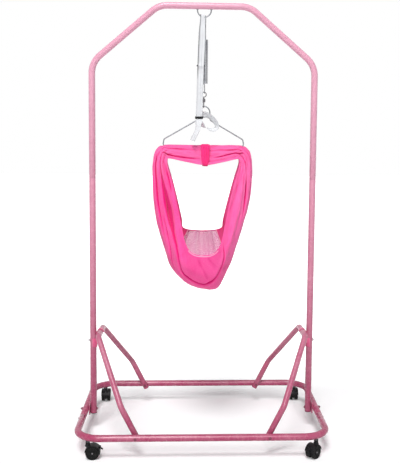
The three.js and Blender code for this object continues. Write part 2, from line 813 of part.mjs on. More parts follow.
// Places along half of the cloth loop, from the middle of the band over the bar to the bottom of
// the pocket. Each holds the outer line's X and drop, the near rim's X and drop, the far rim's X
// and drop, and the half depth, as shares of slingHalfWidth, slingHeight and slingHalfDepth, with
// the depth of the folds as a share of foldDepth and the cloth's columns up to the next place.
const slingPlaceShares = [
  { outer: [0, 0], near: [0, 0.136], far: [0, 0.136], depth: 0.14, fold: 0.2, columns: 2 },
  { outer: [0.38, 0], near: [0.36, 0.115], far: [0.36, 0.115], depth: 0.155, fold: 0.25, columns: 2 },
  { outer: [0.74, 0], near: [0.667, 0.092], far: [0.667, 0.092], depth: 0.17, fold: 0.25, columns: 1 },
  { outer: [0.845, 0.007], near: [0.7, 0.094], far: [0.7, 0.094], depth: 0.185, fold: 0.35, columns: 1 },
  { outer: [0.945, 0.044], near: [0.712, 0.115], far: [0.712, 0.115], depth: 0.21, fold: 0.6, columns: 1 },
  { outer: [0.995, 0.125], near: [0.692, 0.152], far: [0.692, 0.152], depth: 0.26, fold: 0.9, columns: 2 },
  { outer: [1, 0.258], near: [0.61, 0.249], far: [0.61, 0.249], depth: 0.35, fold: 1, columns: 2 },
  { outer: [0.96, 0.408], near: [0.505, 0.399], far: [0.505, 0.399], depth: 0.47, fold: 1, columns: 2 },
  { outer: [0.87, 0.549], near: [0.414, 0.549], far: [0.424, 0.532], depth: 0.62, fold: 0.8, columns: 2 },
  { outer: [0.722, 0.69], near: [0.343, 0.652], far: [0.404, 0.594], depth: 0.79, fold: 0.55, columns: 2 },
  { outer: [0.525, 0.841], near: [0.253, 0.703], far: [0.293, 0.615], depth: 0.92, fold: 0.4, columns: 2 },
  { outer: [0.293, 0.965], near: [0.141, 0.723], far: [0.152, 0.622], depth: 0.99, fold: 0.3, columns: 2 },
  { outer: [0, 1], near: [0, 0.728], far: [0, 0.624], depth: 1, fold: 0.3, columns: 2 },
];
const slitPlace = 2; // the hanger's wire leaves the cloth between this place and the next
const windowPlace = 10; // the net window reaches from this place, over the bottom, to its mirror
const windowRow = 9; // and from this row up to the far rim
const halfPlaces = slingPlaceShares.length - 1;
const placeCount = 2 * halfPlaces;

function loopPlaces() {
  const places = [];
  for (let i = 0; i < placeCount; i += 1) {
    const mirrored = i > halfPlaces;
    const index = mirrored ? placeCount - i : i;
    places.push({ ...slingPlaceShares[index], sign: mirrored ? -1 : 1 });
  }
  return places;
}

const slingPlaces = loopPlaces();

function slingLine(key, side) {
  const points = slingPlaces.map((place) => vec(
    place.sign * place[key][0] * slingHalfWidth,
    side * place.depth * slingHalfDepth,
    slingTop - place[key][1] * slingHeight,
  ));
  return new THREE.CatmullRomCurve3(points, true, "centripetal");
}

const outerLine = slingLine("outer", 0);
const nearLine = slingLine("near", -1);
const farLine = slingLine("far", 1);
const foldLine = new THREE.CatmullRomCurve3(
  slingPlaces.map((place) => vec(place.fold * foldDepth, 0, 0)), true,
);

// A point of the cloth's outer face: place runs round the loop, across from the near rim at -1
// to the far rim at 1. The section is half an ellipse, drawn in at each fold.
function slingPoint(place, across) {
  const share = place / placeCount;
  const outer = outerLine.getPoint(share);
  const rim = (across < 0 ? nearLine : farLine).getPoint(share);
  const angle = (Math.abs(across) * Math.PI) / 2;
  const inward = vec(rim.x - outer.x, 0, rim.z - outer.z);
  const wave = (1 - Math.cos(2 * Math.PI * foldCount * across)) / 2;
  const drawn = foldLine.getPoint(share).x * wave * Math.sin(angle);
  const folded = inward.clone().normalize().multiplyScalar(drawn * Math.cos(angle));
  const point = outer.clone().addScaledVector(inward, 1 - Math.cos(angle)).add(folded);
  point.y = rim.y * Math.sin(angle) - Math.sign(rim.y) * drawn * Math.sin(angle);
  return point;
}

// A closed shell of a given thickness on a grid of points, without the cells that are left open.
// The outer face is where the cross product of the grid's first and second direction points.
function shell(grid, thickness, isOpen, isLoop) {
  const columns = isLoop ? grid.length : grid.length - 1;
  const rows = grid[0].length - 1;
  const wrap = (i) => (isLoop ? (i + grid.length) % grid.length : i);
  const clampColumn = (i) => (isLoop ? wrap(i) : Math.min(Math.max(i, 0), grid.length - 1));
  const positions = [];
  const key = (i, j, inner) => (wrap(i) * (rows + 1) + j) * 2 + inner;
  grid.forEach((column, i) => {
    column.forEach((point, j) => {
      const alongFirst = grid[clampColumn(i + 1)][j].clone().sub(grid[clampColumn(i - 1)][j]);
      const alongSecond = column[Math.min(j + 1, rows)].clone().sub(column[Math.max(j - 1, 0)]);
      const inward = alongFirst.cross(alongSecond).normalize().multiplyScalar(-thickness);
      const back = point.clone().add(inward);
      positions.push(point.x, point.y, point.z, back.x, back.y, back.z);
    });
  });
  const missing = (i, j) => {
    const outside = j < 0 || j >= rows || (!isLoop && (i < 0 || i >= columns));
    return outside || isOpen(isLoop ? (i + columns) % columns : i, j);
  };
  const indices = [];
  const quad = (a, b, c, d) => indices.push(a, b, c, a, c, d);
  const wall = (i1, j1, i2, j2) => {
    quad(key(i1, j1, 0), key(i1, j1, 1), key(i2, j2, 1), key(i2, j2, 0));
  };
  for (let i = 0; i < columns; i += 1) {
    for (let j = 0; j < rows; j += 1) {
      if (missing(i, j)) continue;
      quad(key(i, j, 0), key(i + 1, j, 0), key(i + 1, j + 1, 0), key(i, j + 1, 0));
      quad(key(i, j, 1), key(i, j + 1, 1), key(i + 1, j + 1, 1), key(i + 1, j, 1));
      if (missing(i, j - 1)) wall(i, j, i + 1, j);
      if (missing(i + 1, j)) wall(i + 1, j, i + 1, j + 1);
      if (missing(i, j + 1)) wall(i + 1, j + 1, i, j + 1);
      if (missing(i - 1, j)) wall(i, j + 1, i, j);
    }
  }
  const geometry = new THREE.BufferGeometry();
  geometry.setAttribute("position", new THREE.Float32BufferAttribute(positions, 3));
  geometry.setIndex(indices);
  return geometry;
}

function slingCloth() {
  const columns = [];
  slingPlaces.forEach((place, i) => {
    const index = i < halfPlaces ? i : placeCount - 1 - i;
    const count = slingPlaceShares[index].columns;
    for (let k = 0; k < count; k += 1) columns.push(i + k / count);
  });
  const grid = columns.map((place) => {
    const column = [];
    for (let j = 0; j <= clothRows; j += 1) column.push(slingPoint(place, (2 * j) / clothRows - 1));
    return column;
  });
  const middle = clothRows / 2;
  const isOpen = (i, j) => {
    const place = columns[i];
    const mirror = placeCount - slitPlace - 1;
    const slit = Math.floor(place) === slitPlace || Math.floor(place) === mirror;
    const window = place >= windowPlace && place < placeCount - windowPlace && j >= windowRow;
    return window || (slit && (j === middle || j === middle - 1));
  };
  return shell(grid, clothThickness, isOpen, true);
}

piece("sling_cloth", slingCloth(), pinkCloth);

// Lines of a net: strands with gaps between them, from 0 to 1.
function netLines(gaps) {
  const pitch = 1 / (gaps + netStrandShare);
  const lines = [];
  for (let i = 0; i <= gaps; i += 1) {
    lines.push(i * pitch, (i + netStrandShare) * pitch);
  }
  return lines;
}

function netWindow() {
  const firstPlace = windowPlace + netMarginShare;
  const placeSpan = placeCount - 2 * firstPlace;
  const firstAcross = (2 * windowRow) / clothRows - 1 + netMarginShare / 2;
  const grid = netLines(netColumns).map((along) => netLines(netRows).map((up) => {
    const across = firstAcross + up * (1 - firstAcross);
    return slingPoint(firstPlace + along * placeSpan, across);
  }));
  return shell(grid, netThickness, (i, j) => i % 2 === 1 && j % 2 === 1, false);
}

piece("net_window", netWindow(), paleNet);

// A rounded rectangle about the origin.
function roundedRectangle(width, height, radius) {
  const shape = new THREE.Shape();
  const x = width / 2 - radius;
  const y = height / 2 - radius;
  const quarter = Math.PI / 2;
  const corners = [[x, y, 0], [-x, y, quarter], [-x, -y, 2 * quarter], [x, -y, 3 * quarter]];
  const points = corners.flatMap(([cx, cy, from]) => arcPoints(cx, cy, radius, from, from + quarter, 3));
  shape.setFromPoints(points);
  return shape;
}

function slingTie() {
  const bandDrop = slingPlaceShares[0].near[1] * slingHeight;
  const height = bandDrop + fitGap + tieSlack;
  const shape = roundedRectangle(2 * (tieHalfDepth + tieThickness), height + 2 * tieThickness,
    tieRoundness + tieThickness);
  shape.holes.push(roundedRectangle(2 * tieHalfDepth, height, tieRoundness));
  const geometry = new THREE.ExtrudeGeometry(shape, { depth: tieWidth, bevelEnabled: false });
  return geometry.translate(0, 0, -tieWidth / 2).rotateX(Math.PI / 2).rotateZ(Math.PI / 2)
    .translate(tieOffset, 0, slingTop + fitGap - height / 2);
}

piece("sling_tie", slingTie(), pinkCloth);

// Strap

const strapLayerStep = strapThickness + strapLayerGap;
const strapBackY = -strapFrontDepth;
const buckleLowZ = buckleZ - buckleTall / 2;
const strapFrontY = -strapFrontDepth - strapLayerStep;

// Up the front from the buckle, over the ring's wire and down the back to the buckle again.
function safetyStrap() {
  const wrap = ringWire / 2 + 2 * fitGap + strapThickness;
  const ringReach = Math.abs(strapRingOffset) + strapRingWidth / 2;
  const ringZ = ringCentreZ - Math.sqrt(ringRadius ** 2 - ringReach ** 2);
  const acrossX = vec(1, 0, 0);
  const leg = (y) => [
    { point: vec(buckleOffset, y, buckleZ + fitGap), width: strapWidth },
    { point: vec(strapSliderOffset, y, sliderZ), width: strapWidth },
    { point: vec(strapRingOffset - strapThickness, y, springTopZ + strapWidth), width: strapWidth },
  ];
  const top = [];
  for (let i = 0; i <= springSteps; i += 1) {
    const angle = Math.PI - (Math.PI * i) / springSteps;
    const point = vec(strapRingOffset, wrap * Math.cos(angle), ringZ + wrap * Math.sin(angle));
    top.push({ point, width: strapRingWidth });
  }
  const below = ringCentreZ - ringRadius - ringWire;
  const front = { point: vec(strapRingOffset, -wrap, below), width: strapRingWidth };
  const back = { point: vec(strapRingOffset, wrap, below), width: strapRingWidth };
  const route = [...leg(strapFrontY), front, ...top, back, ...leg(strapBackY).reverse()];
  return ribbon(route.map((station) => ({ ...station, across: acrossX })), strapThickness);
}

piece("safety_strap", safetyStrap(), greyWebbing);

// A flat ring that the strap's two layers run through.
function keeper(height) {
  const inner = [strapWidth + 2 * keeperSideGap, strapLayerStep + strapThickness + 2 * fitGap];
  const outline = roundedRectangle(inner[0] + 2 * keeperWall, inner[1] + 2 * keeperWall, keeperWall);
  outline.holes.push(roundedRectangle(inner[0], inner[1], fitGap));
  return new THREE.ExtrudeGeometry(outline, { depth: height, bevelEnabled: false })
    .translate(0, 0, -height / 2);
}

const layersMiddle = (strapBackY + strapFrontY) / 2;
piece("strap_slider", keeper(sliderTall), blackPlastic)
  .position.set(strapSliderOffset, layersMiddle, sliderZ);
piece("strap_buckle", keeper(buckleTall), blackPlastic)
  .position.set(buckleOffset, layersMiddle, buckleZ);

function webbing(route) {
  return ribbon(route.map((station) => ({ width: strapWidth, ...station })), strapThickness);
}

// Places of the strap's lower loop after it leaves the hanger's left leg: across to the right in
// front of the hanger, slack below it and back to the buckle. Each holds X, Y and the drop below
// the wrap, as shares of the loop's reach, its depth and its drop, and the strap's width direction.
const strapLoopShares = [
  { at: [-0.24, 0.14, 0], across: [0, 0, 1] },
  { at: [-0.04, -0.22, 0], across: [0, -0.1, 1] },
  { at: [0.16, -0.61, 0], across: [0, -0.35, 0.9] },
  { at: [0.37, -0.89, 0.07], across: [0, -0.7, 0.7] },
  { at: [0.61, -1, 0.21], across: [0, -0.9, 0.43] },
  { at: [0.84, -1, 0.44], across: [0, -0.95, 0.3] },
  { at: [1, -1, 0.68], across: [0, -0.95, 0.2] },
  { at: [0.98, -1, 0.89], across: [0, -0.95, 0.1] },
  { at: [0.78, -1, 1], across: [0, -0.95, 0] },
  { at: [0.47, -1, 0.98], across: [0, -0.95, 0] },
  { at: [0.18, -1, 0.86], across: [0.3, -0.95, 0] },
  { at: [-0.06, -0.86, 0.7], across: [0.7, -0.7, 0] },
];

// The loop goes round the leg of the hanger's arch first.
function strapLoop() {
  const wrapZ = barZ + archNeckRise + strapWrapRise;
  const upward = vec(0, 0, 1);
  const startPoint = vec(-hangerArchRadius + strapLegReach, -strapLoopDepth / 2, wrapZ);
  const round = arcPoints(-hangerArchRadius, 0, strapLegReach, legWrapFrom, legWrapTo, 5)
    .map(({ x, y }) => ({ point: vec(x, y, wrapZ), across: upward }));
  const free = strapLoopShares.map(({ at: [x, y, drop], across }) => ({
    point: vec(x * strapLoopReach, y * strapLoopDepth, wrapZ - drop * strapLoopDrop),
    across: vec(...across),
  }));
  const acrossX = vec(1, 0, 0);
  const end = [strapLoopRun, strapTailRun, fitGap - buckleTall / 2].map((below) => ({
    point: vec(buckleOffset, strapBackY, buckleLowZ - below),
    across: acrossX,
  }));
  return webbing([{ point: startPoint, across: upward }, ...round, ...free, ...end]);
}

piece("strap_loop", strapLoop(), greyWebbing);

// Places of the strap's loose end below the buckle: X, Y and drop as shares of its reach, its
// depth and its drop, and the strap's width direction.
const strapTailShares = [
  { at: [0, 0, 0], across: [1, 0, 0] },
  { at: [0.04, 0.34, 0.1], across: [1, -0.1, 0] },
  { at: [0.1, 0.6, 0.25], across: [0.9, -0.4, 0] },
  { at: [0.22, 0.82, 0.47], across: [0.8, -0.6, 0] },
  { at: [0.58, 0.94, 0.73], across: [0.75, -0.66, 0] },
  { at: [1, 1, 1], across: [0.75, -0.66, 0] },
];

function strapTail() {
  const start = { point: vec(buckleOffset, strapFrontY, buckleZ - fitGap), across: vec(1, 0, 0) };
  const hanging = strapTailShares.map(({ at: [x, y, drop], across }) => ({
    point: vec(
      buckleOffset - x * strapTailReach,
      strapFrontY - y * strapTailDepth,
      buckleLowZ - strapTailRun - drop * strapTailDrop,
    ),
    across: vec(...across),
  }));
  return webbing([start, ...hanging]);
}

piece("strap_tail", strapTail(), greyWebbing);

// Casters. Each is drawn about its stem's axis, with the floor at zero and trailing along +X.
const stemFlangeTop = railHeight - tubeRadius - fitGap;
const stemFlangeFoot = stemFlangeTop - stemFlangeHeight;
const stemPinFoot = stemFlangeFoot - stemPinLength;
const bossTop = stemFlangeFoot - fitGap;
const hoodInner = wheelDiameter / 2 + hoodGap;
const hoodOuter = hoodInner + hoodThickness;
const wheelInner = webThickness / 2 + wheelSideGap;
const hoodWidth = 2 * (wheelInner + wheelWidth + wheelSideGap);
const pedalPivotX = casterTrail + pedalPivotRadius * Math.cos(pedalPivotAngle);
const pedalPivotZ = wheelApothem + pedalPivotRadius * Math.sin(pedalPivotAngle);

function casterStem() {
  const thread = stemThreadDiameter / 2;
  const pin = stemPinDiameter / 2;
  return turned([
    [0, stemPinFoot],
    [pin, stemPinFoot],
    [pin, stemFlangeFoot],
    [stemFlangeRadius, stemFlangeFoot],
    [stemFlangeRadius, stemFlangeTop],
    [thread, stemFlangeTop],
    [thread, stemFlangeTop + stemThreadLength],
    [0, stemFlangeTop + stemThreadLength],
  ], boltSides);
}

function casterHousing(hasPedal) {
  const hoodShape = new THREE.Shape([
    ...arcPoints(casterTrail, wheelApothem, hoodOuter, hoodEndAngle, Math.PI - hoodEndAngle, arcSteps),
    ...arcPoints(casterTrail, wheelApothem, hoodInner, Math.PI - hoodEndAngle, hoodEndAngle, arcSteps),
  ]);
  const webShape = new THREE.Shape(arcPoints(
    casterTrail, wheelApothem, hoodInner + hoodThickness / 2, -webDropAngle, Math.PI + webDropAngle,
    arcSteps,
  ));
  const bossFoot = wheelApothem + hoodInner;
  const boss = bar(vec(0, 0, bossFoot - hoodThickness), vec(0, 0, bossTop), stemBossRadius, tubeSides);
  const parts = [sidewise(hoodShape, hoodWidth), sidewise(webShape, webThickness), boss];
  const holes = [
    drill(vec(0, 0, stemPinFoot - fitGap), vec(0, 0, bossTop + cutOverrun), stemPinDiameter),
    drill(vec(casterTrail, -webThickness, wheelApothem), vec(casterTrail, webThickness, wheelApothem),
      axleDiameter),
  ];
  if (hasPedal) {
    const lugWidth = pedalWidth + 2 * fitGap + 2 * pedalLugThickness;
    const rootRadius = hoodInner + hoodThickness / 2;
    const rootAngle = pedalLugRadius / rootRadius;
    const lugShape = new THREE.Shape([
      ...arcPoints(casterTrail, wheelApothem, rootRadius,
        pedalPivotAngle + rootAngle, pedalPivotAngle - rootAngle, 2),
      ...arcPoints(pedalPivotX, pedalPivotZ, pedalLugRadius,
        pedalPivotAngle - Math.PI / 2, pedalPivotAngle + Math.PI / 2, 4),
    ]);
    parts.push(sidewise(lugShape, lugWidth));
    const slotAway = hoodOuter + fitGap;
    const slotShape = new THREE.Shape([
      ...arcPoints(casterTrail, wheelApothem, slotAway, 0, Math.PI / 2, arcSteps),
      ...arcPoints(casterTrail, wheelApothem, slotAway + pedalReach, Math.PI / 2, 0, arcSteps),
    ]);
    const slot = sidewise(slotShape, pedalWidth + 2 * fitGap);
    const pedalHole = drill(
      vec(pedalPivotX, -lugWidth, pedalPivotZ),
      vec(pedalPivotX, lugWidth, pedalPivotZ),
      pedalPinDiameter,
    );
    return cut(joined(cut(joined(...parts), [slot, pedalHole]), boss), holes);
  }
  return cut(joined(...parts), holes);
}

function casterWheel() {
  const radius = wheelDiameter / 2;
  const bore = axleDiameter / 2 + boreGap;
  const profile = [
    [bore, 0],
    [radius, 0],
    [radius, wheelWidth - wheelChamfer],
    [radius - wheelChamfer, wheelWidth],
    [bore, wheelWidth],
    [bore, 0],
  ].map(([r, y]) => new THREE.Vector2(r, y));
  return new THREE.LatheGeometry(profile, wheelSides, Math.PI / wheelSides);
}

// The pedal's lever runs from its pivot down to its tip; its pin turns in the housing's lugs.
function brakePedal() {
  const tipX = casterTrail + pedalReach - pedalPivotX;
  const length = Math.hypot(tipX, pedalTipDrop);
  const lever = new THREE.BoxGeometry(length, pedalWidth, pedalThickness)
    .translate(length / 2, 0, 0)
    .rotateY(Math.atan2(pedalTipDrop, tipX));
  const half = pedalWidth / 2 + fitGap + pedalLugThickness;
  const pin = bar(vec(0, -half, 0), vec(0, half, 0), pedalPinDiameter / 2, boltSides);
  return joined(lever, pin);
}

const casters = [
  { name: "front_left", at: [-1, -1], heading: 0, pedal: true },
  { name: "front_right", at: [1, -1], heading: frontRightHeading, pedal: true },
  { name: "rear_left", at: [-1, 1], heading: Math.PI / 2, pedal: false },
  { name: "rear_right", at: [1, 1], heading: Math.PI / 2, pedal: false },
];

for (const { name, at, heading, pedal } of casters) {
  const caster = new THREE.Group();
  caster.position.copy(stemPlace(...at));
  caster.rotation.z = heading;
  piece(`${name}_caster_stem`, casterStem(), zincSteel, caster);
  piece(`${name}_caster_housing`, casterHousing(pedal), blackPlastic, caster);
  const axleHalf = wheelInner + wheelWidth;
  const axle = bar(vec(0, -axleHalf, 0), vec(0, axleHalf, 0), axleDiameter / 2, boltSides);
  piece(`${name}_caster_axle`, axle, zincSteel, caster).position.set(casterTrail, 0, wheelApothem);
  for (const [side, sign] of [["left", 1], ["right", -1]]) {
    const wheel = piece(`${name}_caster_${side}_wheel`, casterWheel(), blackPlastic, caster);
    wheel.position.set(casterTrail, sign * wheelInner, wheelApothem);
    if (sign < 0) wheel.rotation.x = Math.PI;
  }
  if (pedal) {
    piece(`${name}_brake_pedal`, brakePedal(), blackPlastic, caster)
      .position.set(pedalPivotX, 0, pedalPivotZ);
  }
  cradle.add(caster);
}

export default cradle;
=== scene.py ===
"""Looks of a hanging baby cradle: a painted tube stand on casters, a coil spring and safety strap,
a swivel, a wire hanger and a knitted cloth sling with a net window.

Sizes are in millimetres and meshes in metres. +X is the viewer's right, +Y away from the viewer,
+Z up, and the origin is on the floor under the middle of the stand.
"""

import sys

import logging
import math
from dataclasses import dataclass, field, replace
from enum import Enum
from functools import cached_property
from typing import Iterable, Sequence

import bmesh
import bpy
import numpy as np
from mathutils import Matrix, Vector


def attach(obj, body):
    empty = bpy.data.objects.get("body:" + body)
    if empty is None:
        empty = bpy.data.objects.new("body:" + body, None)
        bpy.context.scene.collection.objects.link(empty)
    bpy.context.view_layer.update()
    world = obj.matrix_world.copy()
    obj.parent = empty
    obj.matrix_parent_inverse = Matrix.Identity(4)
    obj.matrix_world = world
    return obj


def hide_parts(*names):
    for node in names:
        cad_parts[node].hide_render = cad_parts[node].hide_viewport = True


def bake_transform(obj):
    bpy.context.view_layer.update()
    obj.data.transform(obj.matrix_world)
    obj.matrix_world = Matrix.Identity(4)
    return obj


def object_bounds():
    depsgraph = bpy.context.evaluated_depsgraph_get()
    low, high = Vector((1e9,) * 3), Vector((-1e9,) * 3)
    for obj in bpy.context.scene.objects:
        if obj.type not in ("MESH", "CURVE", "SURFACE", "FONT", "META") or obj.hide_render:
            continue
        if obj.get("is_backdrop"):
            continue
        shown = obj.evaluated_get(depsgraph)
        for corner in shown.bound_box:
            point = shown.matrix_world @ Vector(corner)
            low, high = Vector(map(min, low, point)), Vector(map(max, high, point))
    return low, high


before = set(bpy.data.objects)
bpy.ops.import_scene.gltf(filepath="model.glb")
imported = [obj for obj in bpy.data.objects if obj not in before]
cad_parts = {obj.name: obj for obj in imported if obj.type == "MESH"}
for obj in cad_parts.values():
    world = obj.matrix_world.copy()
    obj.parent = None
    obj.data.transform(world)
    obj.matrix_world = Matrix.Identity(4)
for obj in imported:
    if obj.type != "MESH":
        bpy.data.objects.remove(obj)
CAD_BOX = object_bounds()

MM = 0.001
Array = np.ndarray
LOG = logging.getLogger("cradle")
X_AXIS, Y_AXIS, Z_AXIS = np.eye(3)
FACING = np.array([X_AXIS, Z_AXIS, Y_AXIS])


class Signed(Enum):
    """One of two opposite places, whose value is the sign of its coordinate."""

    @property
    def word(self) -> str:
        """The name in lower case, as the CAD nodes spell it."""
        return self.name.lower()


class Side(Signed):
    """Which side of the stand a piece is on, by the sign of its X."""

    LEFT = -1
    RIGHT = 1


class End(Signed):
    """Which end of the base a piece is on, by the sign of its Y."""

    FRONT = -1
    REAR = 1


# Geometry: grids of points, and profiles carried along paths


def unit(vectors: Array) -> Array:
    """Vectors of length one: each vector over its own length."""
    return vectors / np.maximum(np.linalg.norm(vectors, axis=-1, keepdims=True), 1e-12)


def cos_sin(angles: Array | float) -> Array:
    """Cosines and sines of angles, along a last axis of two."""
    return np.stack([np.cos(angles), np.sin(angles)], axis=-1)


def placed(points: Array, axes: Sequence[Array], origin: Sequence[float]) -> Array:
    """Local points along three axes from an origin."""
    return points @ np.asarray(axes, float) + np.asarray(origin, float)


@dataclass(frozen=True)
class Patch:
    """A grid of points in mm that becomes quads between neighbouring rows and columns.

    Attributes:
        points: Rows by columns by 3.
        loops: Whether the rows and the columns close on themselves.
        caps: Whether the first and the last row get one closing face each.
        keep: Which cells are kept, or None for all.
        start: Where the map's distance along the rows starts, in metres.
    """

    points: Array
    loops: tuple[bool, bool] = (False, True)
    caps: bool = True
    keep: Array | None = None
    start: float = 0.0

    def cells(self) -> Array:
        """Corner indices of each kept cell, in row, column pairs: (cells, 4, 2).

        Returns:
            Unwrapped indices, so that a cell over a seam ends one past the last row or column.
        """
        shape = np.subtract(self.points.shape[:2], np.logical_not(self.loops))
        kept = np.ones(shape, bool) if self.keep is None else self.keep
        return np.argwhere(kept)[:, None] + np.array([[0, 0], [0, 1], [1, 1], [1, 0]])

    def lengths(self) -> tuple[Array, Array]:
        """Mean distance run along the rows and along the columns, in metres, seams included.

        Returns:
            One value per row, and one per column, each with one more where that way loops.
        """
        result = []
        for axis in (0, 1):
            points = self.points
            if self.loops[axis]:
                points = np.concatenate([points, points.take([0], axis=axis)], axis=axis)
            steps = np.linalg.norm(np.diff(points, axis=axis), axis=-1).mean(axis=1 - axis)
            result.append(np.concatenate([[0.0], np.cumsum(steps)]) * MM)
        return result[0] + self.start, result[1]

    def closing_faces(self) -> list[Array]:
        """The first row backwards and the last row forwards, where the patch is capped.

        Returns:
            Lists of point indices within the patch.
        """
        rows, columns = self.points.shape[:2]
        if not self.caps or self.loops[0] or not self.loops[1]:
            return []
        ring = np.arange(columns)
        return [ring[::-1], ring + (rows - 1) * columns]


def signed_volume(points: Array, quads: Array, others: Iterable[Array]) -> float:
    """Six times the volume that the faces close: the sum of a . (b x c) over all triangles.

    Args:
        points: Vertices by 3.
        quads: Faces by 4 indices.
        others: Faces with any number of corners.

    Returns:
        Above zero where the faces point outwards.
    """
    a, b, c, d = (points[quads[:, k]] for k in range(4))
    total = (a * np.cross(b, c)).sum() + (a * np.cross(c, d)).sum()
    for face in others:
        ring = points[face]
        total += (ring[0] * np.cross(ring[1:-1], ring[2:])).sum()
    return float(total)


def sweep(centres: Array, first: Array, second: Array, profile: Array) -> Array:
    """A profile carried along a path: each centre plus the profile's two sizes along two axes.

    Args:
        centres: Stations by 3.
        first: The profile's first axis at each station.
        second: Its second axis at each station.
        profile: Points by 2, or stations by points by 2 where it changes along the path.

    Returns:
        Stations by points by 3.
    """
    flat = np.broadcast_to(profile, (len(centres),) + profile.shape[-2:])
    first, second = (np.broadcast_to(axis, centres.shape)[:, None] for axis in (first, second))
    return centres[:, None] + first * flat[..., :1] + second * flat[..., 1:]


def circle(columns: int, radius: float = 1.0) -> Array:
    """Points of a circle: the cosine and sine of even angles times the radius."""
    return radius * cos_sin(np.arange(columns) * 2 * np.pi / columns)


def rounded_box(width: float, height: float, radius: float, steps: int = 4) -> Array:
    """A rectangle with round corners: four quarter circles about the corners' centres.

    Args:
        width: Size along the first axis.
        height: Size along the second axis.
        radius: Of the corners.
        steps: Parts of each quarter circle.

    Returns:
        Points by 2, anticlockwise.
    """
    radius = min(radius, width / 2, height / 2)
    angles = (np.linspace(0, np.pi / 2, steps + 1) + np.arange(4)[:, None] * np.pi / 2).ravel()
    middles = np.array([[1, 1], [-1, 1], [-1, -1], [1, -1]]) * [width / 2 - radius, height / 2 - radius]
    return np.repeat(middles, steps + 1, axis=0) + radius * cos_sin(angles)


@dataclass(frozen=True)
class Path:
    """Stations along a wire or tube: places, headings and one direction across each."""

    points: Array
    headings: Array
    sides: Array

    @classmethod
    def bent(cls, corners: Sequence, radii: Sequence[float], side: Array, step: float = 0.1) -> "Path":
        """Straights between corners with a round bend at each inner corner.

        A bend's points are its start plus radius times (sine of the angle along the heading
        before, and one less its cosine towards the inside).

        Args:
            corners: Where the straights would meet.
            radii: Of each bend's centre line.
            side: The normal of the plane that holds the path.
            step: The most that one step of a bend turns, in radians.

        Returns:
            The path.
        """
        corners = np.asarray(corners, float)
        headings = unit(np.diff(corners, axis=0))
        points, tangents = [corners[:1]], [headings[:1]]
        for corner, before, after, radius in zip(corners[1:-1], headings, headings[1:], radii):
            turn = math.acos(np.clip(before @ after, -1, 1))
            inward = unit(after - before * math.cos(turn))
            start = corner - before * radius * math.tan(turn / 2)
            angles = np.linspace(0, turn, max(3, math.ceil(turn / step) + 1))[:, None]
            bend = np.sin(angles) * before + (1 - np.cos(angles)) * inward
            points.append(start + radius * bend)
            tangents.append(np.cos(angles) * before + np.sin(angles) * inward)
        points, tangents = np.vstack(points + [corners[-1:]]), np.vstack(tangents + [headings[-1:]])
        apart = np.linalg.norm(np.diff(points, axis=0), axis=1) > 1e-4
        kept = np.concatenate([[True], apart])
        return cls(points[kept], tangents[kept], np.broadcast_to(side, points[kept].shape))

    def turned(self, matrix: Array, place: Array) -> "Path":
        """The path turned by a 3 by 3 matrix and then moved to a place."""
        return Path(self.points @ matrix.T + place, self.headings @ matrix.T, self.sides @ matrix.T)

    def tube(self, radius: float, wall: float = 0.0, lip: float = 0.5, columns: int = 28) -> Patch:
        """A round tube along the path, with rounded lips, and hollow where it has a wall.

        Every row is a ring: the station plus the radius times (cosine along the side, sine along
        the heading crossed with the side). The lips' rows shrink the ring over their last bit.

        Args:
            radius: Outside.
            wall: Thickness, or 0 for a closed rod.
            lip: Size of the rounded edge.
            columns: Points of each ring.

        Returns:
            The closed patch.
        """
        last = len(self.points) - 1
        rows = [(0, 0.0, radius - lip), (0, 0.3 * lip, radius - 0.3 * lip), (0, lip, radius)]
        rows += [(k, 0.0, radius) for k in range(1, last)]
        rows += [(last, -lip, radius), (last, -0.3 * lip, radius - 0.3 * lip), (last, 0.0, radius - lip)]
        if wall:
            rows += [(k, 0.0, radius - wall) for k in range(last, -1, -1)]
        index, shift, size = (np.array(values) for values in zip(*rows))
        headings, sides = self.headings[index], self.sides[index]
        centres = self.points[index] + headings * shift[:, None]
        rings = circle(columns) * size[:, None, None]
        points = sweep(centres, sides, np.cross(headings, sides), rings)
        return Patch(points, loops=(bool(wall), True), caps=not wall)


def lathe(profile: Sequence[Sequence[float]], origin: Sequence[float] = (0, 0, 0), axis: Array = Z_AXIS,
          columns: int = 28, loop: bool = False) -> Patch:
    """A surface of revolution: origin plus height along the axis plus radius round it.

    Args:
        profile: Radius and height pairs, in mm.
        origin: The place of height zero.
        axis: The direction of the height.
        columns: Points round the axis.
        loop: Whether the profile is a closed line, as of a ring.

    Returns:
        The closed patch.
    """
    outline = np.asarray(profile, float)
    first = unit(np.cross(axis, X_AXIS if abs(axis[0]) < 0.9 else Y_AXIS))
    centres = np.asarray(origin, float) + outline[:, 1:] * axis
    rings = circle(columns) * outline[:, :1, None]
    return Patch(sweep(centres, first, np.cross(axis, first), rings), (loop, True), not loop)


def plate(outline: Array, thickness: float, edge: float, origin: Sequence[float],
          axes: Sequence[Array] = FACING) -> Patch:
    """A flat outline given a thickness and a small rounded edge, and put in its place.

    Rows hold the outline drawn in by the edge, at the face, and whole just below it. A point is
    drawn in along the line to the outline's middle.

    Args:
        outline: Points by 2.
        thickness: From face to face.
        edge: Size of the rounding.
        origin: Where the outline's own origin goes.
        axes: Directions of the outline's two axes and of the thickness.

    Returns:
        The closed patch.
    """
    inward = unit(outline.mean(axis=0) - outline) * edge
    half = thickness / 2
    rows = [(1.0, -half), (0.0, edge - half), (0.0, half - edge), (1.0, half)]
    points = [np.column_stack([outline + share * inward, np.full(len(outline), z)]) for share, z in rows]
    return Patch(placed(np.stack(points), axes, origin))


